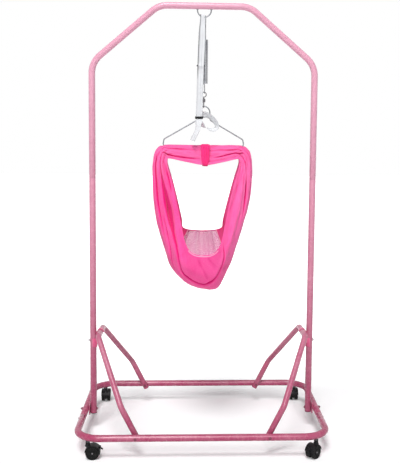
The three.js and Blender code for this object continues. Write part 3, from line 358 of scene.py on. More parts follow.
def spline(knots: Array, at: Array, closed: bool = False) -> Array:
    """A centripetal Catmull-Rom curve through the knots, which may carry more than X, Y and Z.

    Each span is a cubic with the knots' own slopes, and spans are weighed by the square root of
    the distance between their knots.

    Args:
        knots: Knots by values, of which the first three are a place.
        at: Where to read the curve, in knots from the first.
        closed: Whether the curve returns to its first knot.

    Returns:
        One row of values for each place read.
    """
    count = len(knots)
    if not closed:
        knots = np.vstack([2 * knots[0] - knots[1], knots, 2 * knots[-1] - knots[-2]])
        at = np.clip(at, 0, count - 1 - 1e-9) + 1
    index = np.floor(at).astype(int)
    share = (at - index)[:, None]
    p0, p1, p2, p3 = (knots[(index + k) % len(knots)] for k in (-1, 0, 1, 2))

    def span(a: Array, b: Array) -> Array:
        """Square root of the distance between two knots' places."""
        return np.sqrt(np.linalg.norm((b - a)[:, :3], axis=1, keepdims=True))

    middle = span(p1, p2)
    middle = np.where(middle < 1e-4, 1.0, middle)
    before, after = span(p0, p1), span(p2, p3)
    before, after = np.where(before < 1e-4, middle, before), np.where(after < 1e-4, middle, after)
    start = ((p1 - p0) / before - (p2 - p0) / (before + middle) + (p2 - p1) / middle) * middle
    stop = ((p2 - p1) / middle - (p3 - p1) / (middle + after) + (p3 - p2) / after) * middle
    square, cube = 3 * (p2 - p1) - 2 * start - stop, 2 * (p1 - p2) + start + stop
    return p1 + share * (start + share * (square + share * cube))


def bell(values: Array, centre: Array | float, width: Array | float) -> Array:
    """A bell curve: e to the minus square of the distance from the centre over the width."""
    return np.exp(-(((values - centre) / width) ** 2))


def step_between(values: Array, low: float, high: float) -> Array:
    """A smooth step from 0 at low to 1 at high: 3t squared less 2t cubed."""
    t = np.clip((values - low) / (high - low), 0, 1)
    return t * t * (3 - 2 * t)


# Finishes: one node tree each


class Tree:
    """The node tree of a material or a world, with the few kinds of node that they share."""

    def __init__(self, name: str, kind: str = "materials") -> None:
        """Starts a material or a world.

        Args:
            name: Its name.
            kind: Which of Blender's collections it goes into.
        """
        self.owner = getattr(bpy.data, kind).new(name)
        self.owner.use_nodes = True
        self.nodes, self.links = self.owner.node_tree.nodes, self.owner.node_tree.links
        self.shader = self.nodes.get("Principled BSDF")

    @cached_property
    def place(self) -> object:
        """The texture coordinates, by name."""
        return self.node("TexCoord").outputs

    def put(self, **values: float) -> None:
        """Sets the shader's own sockets, whose names are given with underscores for spaces."""
        for name, value in values.items():
            self.shader.inputs[name.replace("_", " ")].default_value = value

    def feed(self, name: str, output: object) -> None:
        """Links an output to a socket of the shader."""
        self.links.new(output, self.shader.inputs[name])

    def node(self, kind: str, inputs: dict | None = None, **settings: object) -> object:
        """Adds a node.

        Args:
            kind: The node's type, without its ShaderNode prefix.
            inputs: Values or outputs for its sockets, by name or number.
            settings: Its properties.

        Returns:
            The node.
        """
        node = self.nodes.new("ShaderNode" + kind)
        for name, value in settings.items():
            setattr(node, name, value)
        for name, value in (inputs or {}).items():
            if isinstance(value, bpy.types.NodeSocket):
                self.links.new(value, node.inputs[name])
            else:
                node.inputs[name].default_value = value
        return node

    def stretched(self, coordinates: object, scale: tuple[float, float, float]) -> object:
        """Coordinates times a scale for each axis."""
        return self.node("Mapping", {"Vector": coordinates, "Scale": scale}).outputs[0]

    def noise(self, coordinates: object, scale: float, detail: float = 3.0) -> object:
        """A noise texture's value from 0 to 1."""
        inputs = {"Vector": coordinates, "Scale": scale, "Detail": detail}
        return self.node("TexNoise", inputs).outputs["Fac"]

    def wave(self, coordinates: object, scale: float, direction: str, warp: float = 0.0) -> object:
        """A sine wave texture's value from 0 to 1, along one axis of its coordinates."""
        inputs = {"Vector": coordinates, "Scale": scale, "Distortion": warp}
        return self.node("TexWave", inputs, bands_direction=direction).outputs["Fac"]

    def range(self, value: object, low: float, high: float, start: float, stop: float) -> object:
        """A value moved from one range to another, held at its ends."""
        names = ("Value", "From Min", "From Max", "To Min", "To Max")
        return self.node("MapRange", dict(zip(names, (value, low, high, start, stop)))).outputs[0]

    def times(self, first: object, second: object) -> object:
        """Two values multiplied."""
        return self.node("Math", {0: first, 1: second}, operation="MULTIPLY").outputs[0]

    def larger(self, first: object, second: object) -> object:
        """The larger of two values."""
        return self.node("Math", {0: first, 1: second}, operation="MAXIMUM").outputs[0]

    def mixed(self, share: object, first: object, second: object) -> object:
        """A colour between two, by a share; either may be another output."""
        pair = [(*colour, 1.0) if isinstance(colour, tuple) else colour for colour in (first, second)]
        return self.node("Mix", {0: share, 6: pair[0], 7: pair[1]}, data_type="RGBA").outputs[2]

    def bump(self, height: object, strength: float, distance: float, under: object = None) -> object:
        """A bump from a height, over another bump where one is given."""
        inputs = {"Height": height, "Strength": strength, "Distance": distance}
        return self.node("Bump", inputs if under is None else {**inputs, "Normal": under}).outputs[0]

    def seen(self) -> object:
        """1 for rays from the camera, off gloss and through glass, and 0 for all others."""
        rays = self.node("LightPath").outputs
        direct = self.larger(rays["Is Camera Ray"], rays["Is Glossy Ray"])
        return self.larger(direct, rays["Is Transmission Ray"])

    def show(self, shader: object) -> None:
        """Links a shader to the tree's output."""
        ends = [node for node in self.nodes if node.bl_idname.startswith("ShaderNodeOutput")]
        self.links.new(shader.outputs[0], ends[0].inputs[0])


@dataclass(frozen=True)
class PinkPaint:
    """Glossy stoved paint on steel tube: orange peel, faint mottling and paler worn edges, with painted light
    that makes it paler towards the top and darker towards the base.
    """

    slot: str = "pink_paint"
    name: str = "pink_stoved_paint"
    # upper and lower are painted light and shade: the paler colour at the top and the darker one at the base.
    upper: tuple = (0.73, 0.34, 0.46)
    lower: tuple = (0.33, 0.028, 0.095)

    def make(self) -> bpy.types.Material:
        """Builds the paint's nodes and returns the material."""
        tree = Tree(self.name)
        place = tree.place["Object"]
        height = tree.node("SeparateXYZ", {0: place}).outputs[2]
        mottle = tree.noise(place, 14.0, 4.0)
        # Painted light: the colour runs from lower near the floor to upper at the top bar, by height alone.
        share = tree.range(height, 0.05, 1.35, 0.0, 1.0)
        colour = tree.mixed(share, self.lower, self.upper)
        paler = tree.range(mottle, 0.35, 0.75, 0.0, 0.1)
        colour = tree.mixed(paler, colour, (0.93, 0.60, 0.70))
        worn = tree.range(tree.node("NewGeometry").outputs["Pointiness"], 0.56, 0.66, 0.0, 0.35)
        tree.feed("Base Color", tree.mixed(worn, colour, (0.80, 0.50, 0.58)))
        tree.feed("Roughness", tree.range(tree.noise(place, 60.0), 0.3, 0.7, 0.2, 0.32))
        peel = tree.bump(tree.noise(place, 900.0, 1.0), 0.10, 0.0004)
        tree.feed("Normal", tree.bump(tree.noise(place, 30.0, 2.0), 0.08, 0.002, peel))
        tree.put(Specular_IOR_Level=0.5)
        return tree.owner


@dataclass(frozen=True)
class Metal:
    """Bare or plated steel: a cool grey with drawn streaks, dull spots and a fine scratch bump."""

    slot: str
    name: str
    colour: tuple
    dull: tuple
    roughness: float

    def make(self) -> bpy.types.Material:
        """Builds the metal's nodes and returns the material."""
        tree = Tree(self.name)
        place = tree.place["Object"]
        spots = tree.range(tree.noise(place, 160.0, 5.0), 0.42, 0.68, 0.0, 0.8)
        tree.feed("Base Color", tree.mixed(spots, self.colour, self.dull))
        streaks = tree.noise(tree.stretched(place, (1.0, 1.0, 12.0)), 900.0, 2.0)
        low, high = self.roughness - 0.08, self.roughness + 0.12
        tree.feed("Roughness", tree.range(streaks, 0.3, 0.7, low, high))
        tree.feed("Normal", tree.bump(streaks, 0.12, 0.0003))
        tree.put(Metallic=0.9)
        return tree.owner


@dataclass(frozen=True)
class Plastic:
    """Moulded black plastic: a fine grain, dust in its hollows and scuffs on what rolls."""

    slot: str
    name: str
    colour: tuple
    scuff: tuple
    roughness: float
    grain: float

    def make(self) -> bpy.types.Material:
        """Builds the plastic's nodes and returns the material."""
        tree = Tree(self.name)
        place = tree.place["Object"]
        scuffs = tree.range(tree.noise(place, 95.0, 6.0), 0.52, 0.78, 0.0, 0.7)
        tree.feed("Base Color", tree.mixed(scuffs, self.colour, self.scuff))
        grain = tree.noise(place, self.grain, 2.0)
        low, high = self.roughness - 0.06, self.roughness + 0.14
        tree.feed("Roughness", tree.range(grain, 0.3, 0.7, low, high))
        tree.feed("Normal", tree.bump(grain, 0.25, 0.0004))
        tree.put(Specular_IOR_Level=0.16)
        return tree.owner


@dataclass(frozen=True)
class Webbing:
    """Flat woven webbing: cross threads, faint streaks along it and painted shade along its edges, darkest at
    the left.
    """

    slot: str = "webbing"
    colour: tuple = (0.80, 0.81, 0.83)
    shade: tuple = (0.50, 0.51, 0.54)
    # edge is the colour of painted shade at the webbing's edges, where the layer behind would show in shadow.
    edge: tuple = (0.13, 0.13, 0.14)

    def make(self) -> bpy.types.Material:
        """Builds the webbing's nodes and returns the material."""
        tree = Tree("woven_webbing")
        across = tree.place["UV"]
        ribs = tree.wave(across, 190.0, "Y", 0.4)
        threads = tree.wave(across, 260.0, "X", 0.6)
        streaks = tree.noise(tree.stretched(across, (330.0, 3.0, 1.0)), 1.0, 2.0)
        soil = tree.noise(tree.place["Object"], 22.0, 4.0)
        share = tree.times(tree.range(streaks, 0.35, 0.7, 0.0, 1.0), tree.range(soil, 0.3, 0.7, 0.5, 1.0))
        colour = tree.mixed(share, self.colour, self.shade)
        # Painted shade: the webbing darkens towards its edges by the attribute read here.
        edge_shade_share = tree.node("Attribute", attribute_name="selvedge").outputs["Fac"]
        tree.feed("Base Color", tree.mixed(edge_shade_share, colour, self.edge))
        weave = tree.bump(tree.times(ribs, threads), 0.6, 0.0005)
        tree.feed("Normal", tree.bump(streaks, 0.3, 0.0006, weave))
        tree.put(Roughness=0.82, Sheen_Weight=0.25, Sheen_Roughness=0.5)
        return tree.owner


@dataclass(frozen=True)
class Knit:
    """Brushed knit cloth: fine wales and courses, a soft sheen, slow changes of its dye and painted shade in
    its creases; on the sling, painted sheen also pales the right limb and the top band.
    """

    slot: str
    name: str
    colour: tuple
    deep: tuple
    pale: tuple
    # fold is the colour of painted shade in the creases: darker and redder where the cloth sinks in.
    fold: tuple = (0.72, 0.0, 0.17)
    wales: float = 330.0
    sheen: float = 0.2
    # How much paler the right limb and the top band are drawn: painted sheen.
    pulled: float = 0.0

    def make(self) -> bpy.types.Material:
        """Builds the cloth's nodes and returns the material."""
        tree = Tree(self.name)
        cloth, place = tree.place["UV"], tree.place["Object"]
        dye = tree.range(tree.noise(place, 9.0, 4.0), 0.3, 0.72, 0.0, 1.0)
        colour = tree.mixed(dye, self.colour, self.deep)
        slub = tree.noise(tree.stretched(cloth, (700.0, 120.0, 1.0)), 1.0, 3.0)
        colour = tree.mixed(tree.range(slub, 0.45, 0.8, 0.0, 0.35), colour, self.pale)
        # Painted sheen: paler towards +X and along the top band.
        if self.pulled:
            axes = tree.node("SeparateXYZ", {0: place}).outputs
            side = tree.range(axes[0], 0.05, 0.15, 0.0, self.pulled)
            band = tree.range(axes[2], 0.98, 1.05, 0.0, self.pulled)
            colour = tree.mixed(tree.larger(side, band), colour, self.pale)
        # Painted shade: the colour is mixed towards fold where the fold attribute says the cloth sinks into a
        # crease.
        crease_shade = tree.node("Attribute", attribute_name="fold").outputs["Fac"]
        tree.feed("Base Color", tree.mixed(tree.range(crease_shade, 0.05, 0.8, 0.0, 0.95), colour, self.fold))
        wales = tree.wave(cloth, self.wales, "X", 0.5)
        courses = tree.wave(cloth, self.wales * 0.8, "Y", 0.5)
        knit = tree.bump(tree.times(wales, courses), 0.45, 0.0005)
        tree.feed("Normal", tree.bump(tree.noise(place, 70.0, 3.0), 0.3, 0.0016, knit))
        tree.feed("Roughness", tree.range(slub, 0.3, 0.7, 0.72, 0.9))
        tree.put(Sheen_Weight=self.sheen, Sheen_Roughness=0.45, Specular_IOR_Level=0.25)
        return tree.owner


PAINT = PinkPaint()
# The clip paint's upper and lower also hold painted light and shade, a little paler towards the top.
CLIP_PAINT = PinkPaint(name="pink_clip_paint", upper=(0.66, 0.10, 0.25), lower=(0.585, 0.06, 0.175))
BARE_WIRE = Metal("bare_wire", "drawn_steel_wire", (0.32, 0.33, 0.35), (0.15, 0.15, 0.17), 0.3)
ZINC = Metal("zinc_steel", "zinc_plated_steel", (0.22, 0.21, 0.22), (0.10, 0.09, 0.10), 0.38)
# Zinc darkened as painted shade, like the dark open tube ends, and tinted pink as painted reflection of the
# paint round it.
ZINC_PAINTED_SHADE = Metal("zinc_steel", "paint_dusted_zinc", (0.26, 0.07, 0.11), (0.12, 0.04, 0.06), 0.45)
BRIGHT = Metal("zinc_steel", "bright_zinc", (0.72, 0.70, 0.71), (0.55, 0.53, 0.54), 0.3)
MOULDING = Plastic("black_plastic", "black_moulding", (0.006, 0.006, 0.007), (0.022, 0.021, 0.022), 0.34, 700)
TREAD = Plastic("black_plastic", "black_tread", (0.005, 0.005, 0.005), (0.028, 0.027, 0.026), 0.5, 420)
BELT = Webbing()
# The sling cloth's paler right limb and top band are painted sheen.
CLOTH = Knit(
    "sling_fabric", "pink_knit", (0.94, 0.095, 0.36), (0.92, 0.05, 0.28), (0.97, 0.24, 0.50), pulled=0.32,
)
TIE_CLOTH = Knit(
    "sling_fabric", "deep_pink_knit", (0.92, 0.03, 0.24), (0.86, 0.015, 0.17), (0.98, 0.12, 0.38),
)
# The net's and the piping's fold colours are painted crease shade as well.
NET = Knit(
    "net_fabric", "pale_net", (0.70, 0.02, 0.36), (0.62, 0.01, 0.28), (0.88, 0.22, 0.58),
    fold=(0.60, 0.01, 0.28), wales=900.0,
)
PIPING = Knit(
    "net_fabric", "pale_piping", (0.93, 0.46, 0.66), (0.88, 0.36, 0.56), (1.0, 0.7, 0.82),
    fold=(0.88, 0.36, 0.56), wales=500.0,
)
Finish = PinkPaint | Metal | Plastic | Webbing | Knit


def added(name: str, data: bpy.types.ID, axes: Sequence[Array] = (), place: tuple = ()) -> bpy.types.Object:
    """Puts a new object into the scene.

    Args:
        name: Its name.
        data: Its mesh, camera or lamp.
        axes: The directions of its X, Y and Z, where it is turned.
        place: Where it stands, where it is turned.

    Returns:
        The object.
    """
    obj = bpy.data.objects.new(name, data)
    bpy.context.scene.collection.objects.link(obj)
    if len(axes):
        matrix = np.eye(4)
        matrix[:3] = np.column_stack([*axes, place])
        obj.matrix_world = matrix.T.tolist()
    return obj


@dataclass
class Workshop:
    """Turns patches into named pieces, and keeps one material for each finish."""

    materials: dict = field(default_factory=dict)
    pieces: list = field(default_factory=list)

    def finish(self, finish: Finish) -> bpy.types.Material:
        """Makes a finish's material once, and returns it every time."""
        if finish not in self.materials:
            self.materials[finish] = finish.make()
        return self.materials[finish]

    def piece(self, name: str, patches: Patch | Sequence[Patch], finish: Finish, body: str | None = "stand",
              node: str = "", closed: bool = True, sharp: float = 38.0) -> bpy.types.Object:
        """Makes one object from its patches, each turned so that it faces outwards.

        A face's map is the distance run along the columns and along the rows, in metres.

        Args:
            name: The object's name.
            patches: Its surfaces.
            finish: Its finish.
            body: The CAD body that it rides on, or None for none.
            node: The CAD node that it stands for, or nothing for its name less the last word.
            closed: Whether each patch closes a volume, and so can be turned by it.
            sharp: Edges that bend more than this many degrees stay sharp.

        Returns:
            The object.
        """
        vertices, faces, maps, start = [], [], [], 0
        for patch in [patches] if isinstance(patches, Patch) else patches:
            rows, columns = patch.points.shape[:2]
            points, cells = patch.points.reshape(-1, 3), patch.cells()
            quads = (cells[..., 0] % rows) * columns + cells[..., 1] % columns
            along, across = patch.lengths()
            ends = patch.closing_faces()
            flip = closed and signed_volume(points - points.mean(axis=0), quads, ends) < 0
            way = slice(None, None, -1) if flip else slice(None)
            faces += (quads[:, way] + start).tolist()
            spread = np.stack([across[cells[..., 1]], along[cells[..., 0]]], axis=-1)
            maps.append(spread[:, way].reshape(-1, 2))
            for ring in ends:
                faces.append((ring[way] + start).tolist())
                maps.append(np.zeros((len(ring), 2)))
            vertices.append(points)
            start += len(points)
        mesh = bpy.data.meshes.new(name)
        mesh.from_pydata((np.vstack(vertices) * MM).tolist(), [], faces)
        mesh.uv_layers.new(name="cloth").data.foreach_set("uv", np.vstack(maps).astype(np.float32).ravel())
        mesh.shade_smooth()
        mesh.set_sharp_from_angle(angle=math.radians(sharp))
        mesh.validate()
        obj = added(name, mesh)
        mesh.materials.append(self.finish(finish))
        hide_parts(node or name.rpartition("_")[0])
        if body:
            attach(obj, body)
        self.pieces.append(obj)
        LOG.info("%s: %d faces on %s", name, len(faces), body or "a blend")
        return obj


# Stand


@dataclass(frozen=True)
class TubeSizes:
    """Sizes that the stand's pieces share, in mm."""

    radius: float = 12.7
    wall: float = 1.2
    rail_height: float = 78.5
    rail_x: float = 460.0
    rail_y: float = 305.0
    base_corner: float = 90.0
    seam_y: float = -90.0
    upright_x: float = 430.0
    upright_foot: float = 63.0
    split_height: float = 1000.0
    arch_height: float = 1661.5
    fit: float = 0.3


@dataclass
class Fastener:
    """A bolt, nut and domed head, or a short screw, about its own axis.

    Attributes:
        grip: From under the head to under the nut.
        shank: Diameter of the shank.
        head: Diameter of the head.
        head_height: Height of the head.
        nut: Width of the nut across its corners, or 0 for a screw.
        nut_height: Height of the nut.
        tail: Thread beyond the nut.
    """

    grip: float
    shank: float = 6.0
    head: float = 12.0
    head_height: float = 3.5
    nut: float = 11.5
    nut_height: float = 5.0
    tail: float = 3.0

    def patches(self, origin: Sequence[float], axis: Array) -> list[Patch]:
        """The bolt from its head, at the origin, along the axis.

        The head is a dome, an ellipse's quarter turned about the axis, with a round drive in it,
        and the thread's radius rises and falls once for each turn.

        Args:
            origin: Where the head's underside is.
            axis: From the head to the nut.

        Returns:
            Closed patches for the head, the shank and the nut.
        """
        radius, drive = self.head / 2, self.head * 0.2
        angles = np.linspace(0, 1.25, 8)
        dome = np.column_stack([radius * np.cos(angles), -self.head_height * np.sin(angles)])
        sunk = [[drive, dome[-1, 1]], [drive * 0.9, dome[-1, 1] + self.head_height * 0.55]]
        head = [[self.shank * 0.4, -0.01], [radius * 0.96, 0.0], [radius, -0.25], *dome[1:], *sunk]
        end = self.grip + self.nut_height + self.tail if self.nut else self.grip
        turns = np.linspace(0, 1, max(int((end - 1.0) / 0.35), 4))
        rod = self.shank / 2 - 0.14 + 0.14 * np.cos(turns * len(turns) * np.pi)
        thread = np.column_stack([rod, turns * (end - 0.6)])
        shank = np.vstack([thread, [[self.shank / 2 - 0.7, end]]])
        made = [lathe(head, origin, axis, 24), lathe(shank, origin, axis, 14)]
        if self.nut:
            top, outer = self.grip + self.nut_height, self.nut / 2
            inner = self.shank / 2 - 0.2
            nut = [
                [inner, self.grip + 0.1], [outer - 0.7, self.grip], [outer, self.grip + 0.6],
                [outer, top - 0.6], [outer - 0.7, top], [inner, top - 0.1],
            ]
            made.append(lathe(nut, origin, axis, 6, loop=True))
        return made


@dataclass
class Stand:
    """The painted tube stand: hoop, base loop, braces, clips, plugs and fasteners."""

    shop: Workshop
    sizes: TubeSizes = TubeSizes()
    arch_flat: float = 348.0
    shoulder_drop: float = 219.5
    arch_bend: float = 90.0
    brace_x: float = 243.0
    brace_radius: float = 11.0
    brace_top: float = 391.0
    brace_top_half: float = 78.0
    brace_knee: float = 185.0
    brace_drop: float = 15.0
    brace_lean: float = math.radians(26.8)
    brace_bend: float = 40.0
    clip_size: tuple = (20.0, 2.5)
    saddle: tuple = (331.0, 366.0, 2.4, math.radians(96))
    clip_drop: float = 60.0
    clip_bolt_drop: float = 34.0
    clip_wrap: float = math.radians(150)
    spacer: tuple = (4.0, 34.0, 44.0)

    @property
    def brace_y(self) -> float:
        """How far a brace's legs stand from the middle."""
        return self.sizes.rail_y - self.sizes.radius - self.brace_radius - self.sizes.fit

    def build(self) -> None:
        """Makes every piece of the stand."""
        self.hoop()
        self.base()
        for side in Side:
            self.brace(side)
            self.clip(side)
            self.foot(side)
            self.fasteners(side)

    def hoop(self) -> None:
        """The top arch and the two uprights that plug into it."""
        s = self.sizes
        shoulder = s.arch_height - self.shoulder_drop
        corners = [
            (-s.upright_x, 0, s.split_height), (-s.upright_x, 0, shoulder),
            (-self.arch_flat / 2, 0, s.arch_height), (self.arch_flat / 2, 0, s.arch_height),
            (s.upright_x, 0, shoulder), (s.upright_x, 0, s.split_height),
        ]
        arch = Path.bent(corners, [self.arch_bend] * 4, Y_AXIS, 0.07)
        self.shop.piece("top_arch_tube", arch.tube(s.radius), PAINT)
        for side in Side:
            x = side.value * s.upright_x
            top = s.split_height - s.fit
            post = Path.bent([(x, 0, s.upright_foot), (x, 0, top)], [], Y_AXIS)
            neck = s.radius - 1.6
            collar = lathe([[neck, top - 4], [neck, s.split_height + 4]], (x, 0, 0))
            self.shop.piece(f"{side.word}_upright_tube", [post.tube(s.radius), collar], PAINT)

    def base(self) -> None:
        """The front and rear halves of the base loop, each a tube with two round bends."""
        s = self.sizes
        for end, seam in ((End.FRONT, s.seam_y), (End.REAR, s.seam_y + s.fit)):
            y, z = end.value * s.rail_y, s.rail_height
            corners = [(-s.rail_x, seam, z), (-s.rail_x, y, z), (s.rail_x, y, z), (s.rail_x, seam, z)]
            half = Path.bent(corners, [s.base_corner] * 2, Z_AXIS, 0.07)
            self.shop.piece(f"base_{end.word}_rail_tube", half.tube(s.radius), PAINT)

    def brace(self, side: Side) -> None:
        """One bent tube: up from its front foot, level past the upright and down to its rear foot.

        It is drawn upright, and then leaned outward about the line through its foot bolts.

        Args:
            side: Which side of the stand.
        """
        s, y = self.sizes, self.brace_y
        knee = (self.brace_knee - s.rail_height) / math.cos(self.brace_lean)
        top = (self.brace_top - s.rail_height) / math.cos(self.brace_lean)
        half = self.brace_top_half
        corners = [
            (0, -y, -self.brace_drop), (0, -y, knee), (0, -half, top),
            (0, half, top), (0, y, knee), (0, y, -self.brace_drop),
        ]
        lean = side.value * self.brace_lean
        turn = np.array(
            [[math.cos(lean), 0, math.sin(lean)], [0, 1, 0], [-math.sin(lean), 0, math.cos(lean)]]
        )
        place = np.array([side.value * self.brace_x, 0, s.rail_height])
        path = Path.bent(corners, [self.brace_bend] * 4, X_AXIS, 0.08).turned(turn, place)
        self.shop.piece(f"{side.word}_brace_tube", path.tube(self.brace_radius, s.wall), PAINT)

    def clip(self, side: Side) -> None:
        """A painted strip on the upright that wraps over the brace, with a saddle round the upright.

        The strip's line runs straight up the upright and then round the brace's middle. The
        saddle is a thin arc about the upright's axis, carried straight up.

        Args:
            side: Which side of the stand.
        """
        s, sign = self.sizes, side.value
        width, thick = self.clip_size
        rise = (self.brace_top - s.rail_height) * math.tan(self.brace_lean)
        top_x = sign * (self.brace_x + rise)
        facet = self.clip_wrap / 16
        wrap = (self.brace_radius + 0.5) / math.cos(facet) + thick / 2
        face_x = sign * (s.upright_x - s.radius - s.fit - thick / 2)
        reach = abs(face_x - top_x)
        first = math.pi - math.acos(min(wrap / reach, 1.0))
        line = [(face_x, 0, z) for z in np.linspace(self.brace_top - self.clip_drop, self.brace_top, 12)]
        for angle in first - self.clip_wrap * np.linspace(0, 1, 25):
            line.append((top_x - sign * wrap * math.cos(angle), 0, self.brace_top + wrap * math.sin(angle)))
        line = np.array(line)
        headings = unit(np.gradient(line, axis=0))
        section = rounded_box(width, thick, 0.7)
        strip = Patch(sweep(line, Y_AXIS, np.cross(headings, Y_AXIS), section))
        low, high, skin, half = self.saddle
        near = s.radius + s.fit
        arc = cos_sin(np.linspace(-half, half, 31))
        ring = np.concatenate([arc * near, arc[::-1] * (near + skin)])
        steps = np.array([low, low + 0.6, high - 0.6, high])
        drawn = np.array([0.4, 0.0, 0.0, 0.4])
        middle = (near + skin / 2) * np.concatenate([arc, arc[::-1]])
        rings = ring + drawn[:, None, None] * unit(middle - ring)
        centres = np.column_stack([np.full(4, sign * s.upright_x), np.zeros(4), steps])
        saddle = Patch(sweep(centres, -sign * X_AXIS, Y_AXIS, rings))
        self.shop.piece(f"{side.word}_brace_clip_strip", [strip, saddle], CLIP_PAINT)

    def foot(self, side: Side) -> None:
        """The painted spacer between upright and side rail, and the plug in the upright's foot.

        Args:
            side: Which side of the stand.
        """
        s, sign = self.sizes, side.value
        thick, depth, height = self.spacer
        middle = (sign * (s.upright_x + s.radius + (thick + 2 * s.fit) / 2), 0, s.rail_height)
        block = plate(rounded_box(depth, height, 5.0), thick, 0.5, middle, (Y_AXIS, Z_AXIS, X_AXIS))
        self.shop.piece(f"{side.word}_foot_spacer_block", block, PAINT)
        r, bore = s.radius, s.radius - s.wall - 0.6
        profile = [
            [r - 1.2, -2.2], [r - 0.4, -2.0], [r, -1.4], [r, -0.2], [r - 0.2, 0.0],
            [bore, 0.1], [bore + 0.3, 2.0], [bore, 2.6], [bore + 0.3, 4.5], [bore, 5.2], [bore - 0.8, 9.0],
        ]
        plug = lathe(profile, (sign * s.upright_x, 0, s.upright_foot - s.fit))
        self.shop.piece(f"{side.word}_upright_plug_cap", plug, MOULDING)

    def fasteners(self, side: Side) -> None:
        """The clip bolt, the foot bolt, two brace bolts and the seam screw of one side.

        Args:
            side: Which side of the stand.
        """
        s, sign = self.sizes, side.value
        out = sign * X_AXIS
        skin = s.upright_x - s.radius
        clip_head = skin - self.clip_size[1] - 2 * s.fit
        foot_head = skin - s.fit
        bolts = {
            "brace_clip_bolt": (
                Fastener(s.upright_x + s.radius + s.fit - clip_head),
                (sign * clip_head, 0, self.brace_top - self.clip_bolt_drop), out,
            ),
            "upright_foot_bolt": (
                Fastener(s.rail_x + s.radius + s.fit - foot_head), (sign * foot_head, 0, s.rail_height), out,
            ),
        }
        head_y = s.rail_y + s.radius + s.fit
        grip = head_y - (self.brace_y - self.brace_radius - s.fit)
        for end in End:
            place = (sign * self.brace_x, end.value * head_y, s.rail_height)
            bolts[f"{end.word}_brace_bolt"] = (Fastener(grip), place, -end.value * Y_AXIS)
        bolts["base_seam_screw"] = (
            Fastener(9.0, 4.0, 8.0, 2.2, 0.0),
            (sign * (s.rail_x + s.radius + s.fit), s.seam_y - 17.0, s.rail_height), -out,
        )
        for name, (bolt, origin, axis) in bolts.items():
            # All but the clip bolts get the zinc with painted shade and pink reflection.
            finish = BRIGHT if "clip" in name else ZINC_PAINTED_SHADE
            self.shop.piece(f"{side.word}_{name}_turned", bolt.patches(origin, axis), finish)


# Ring, spring, swivel and hanger


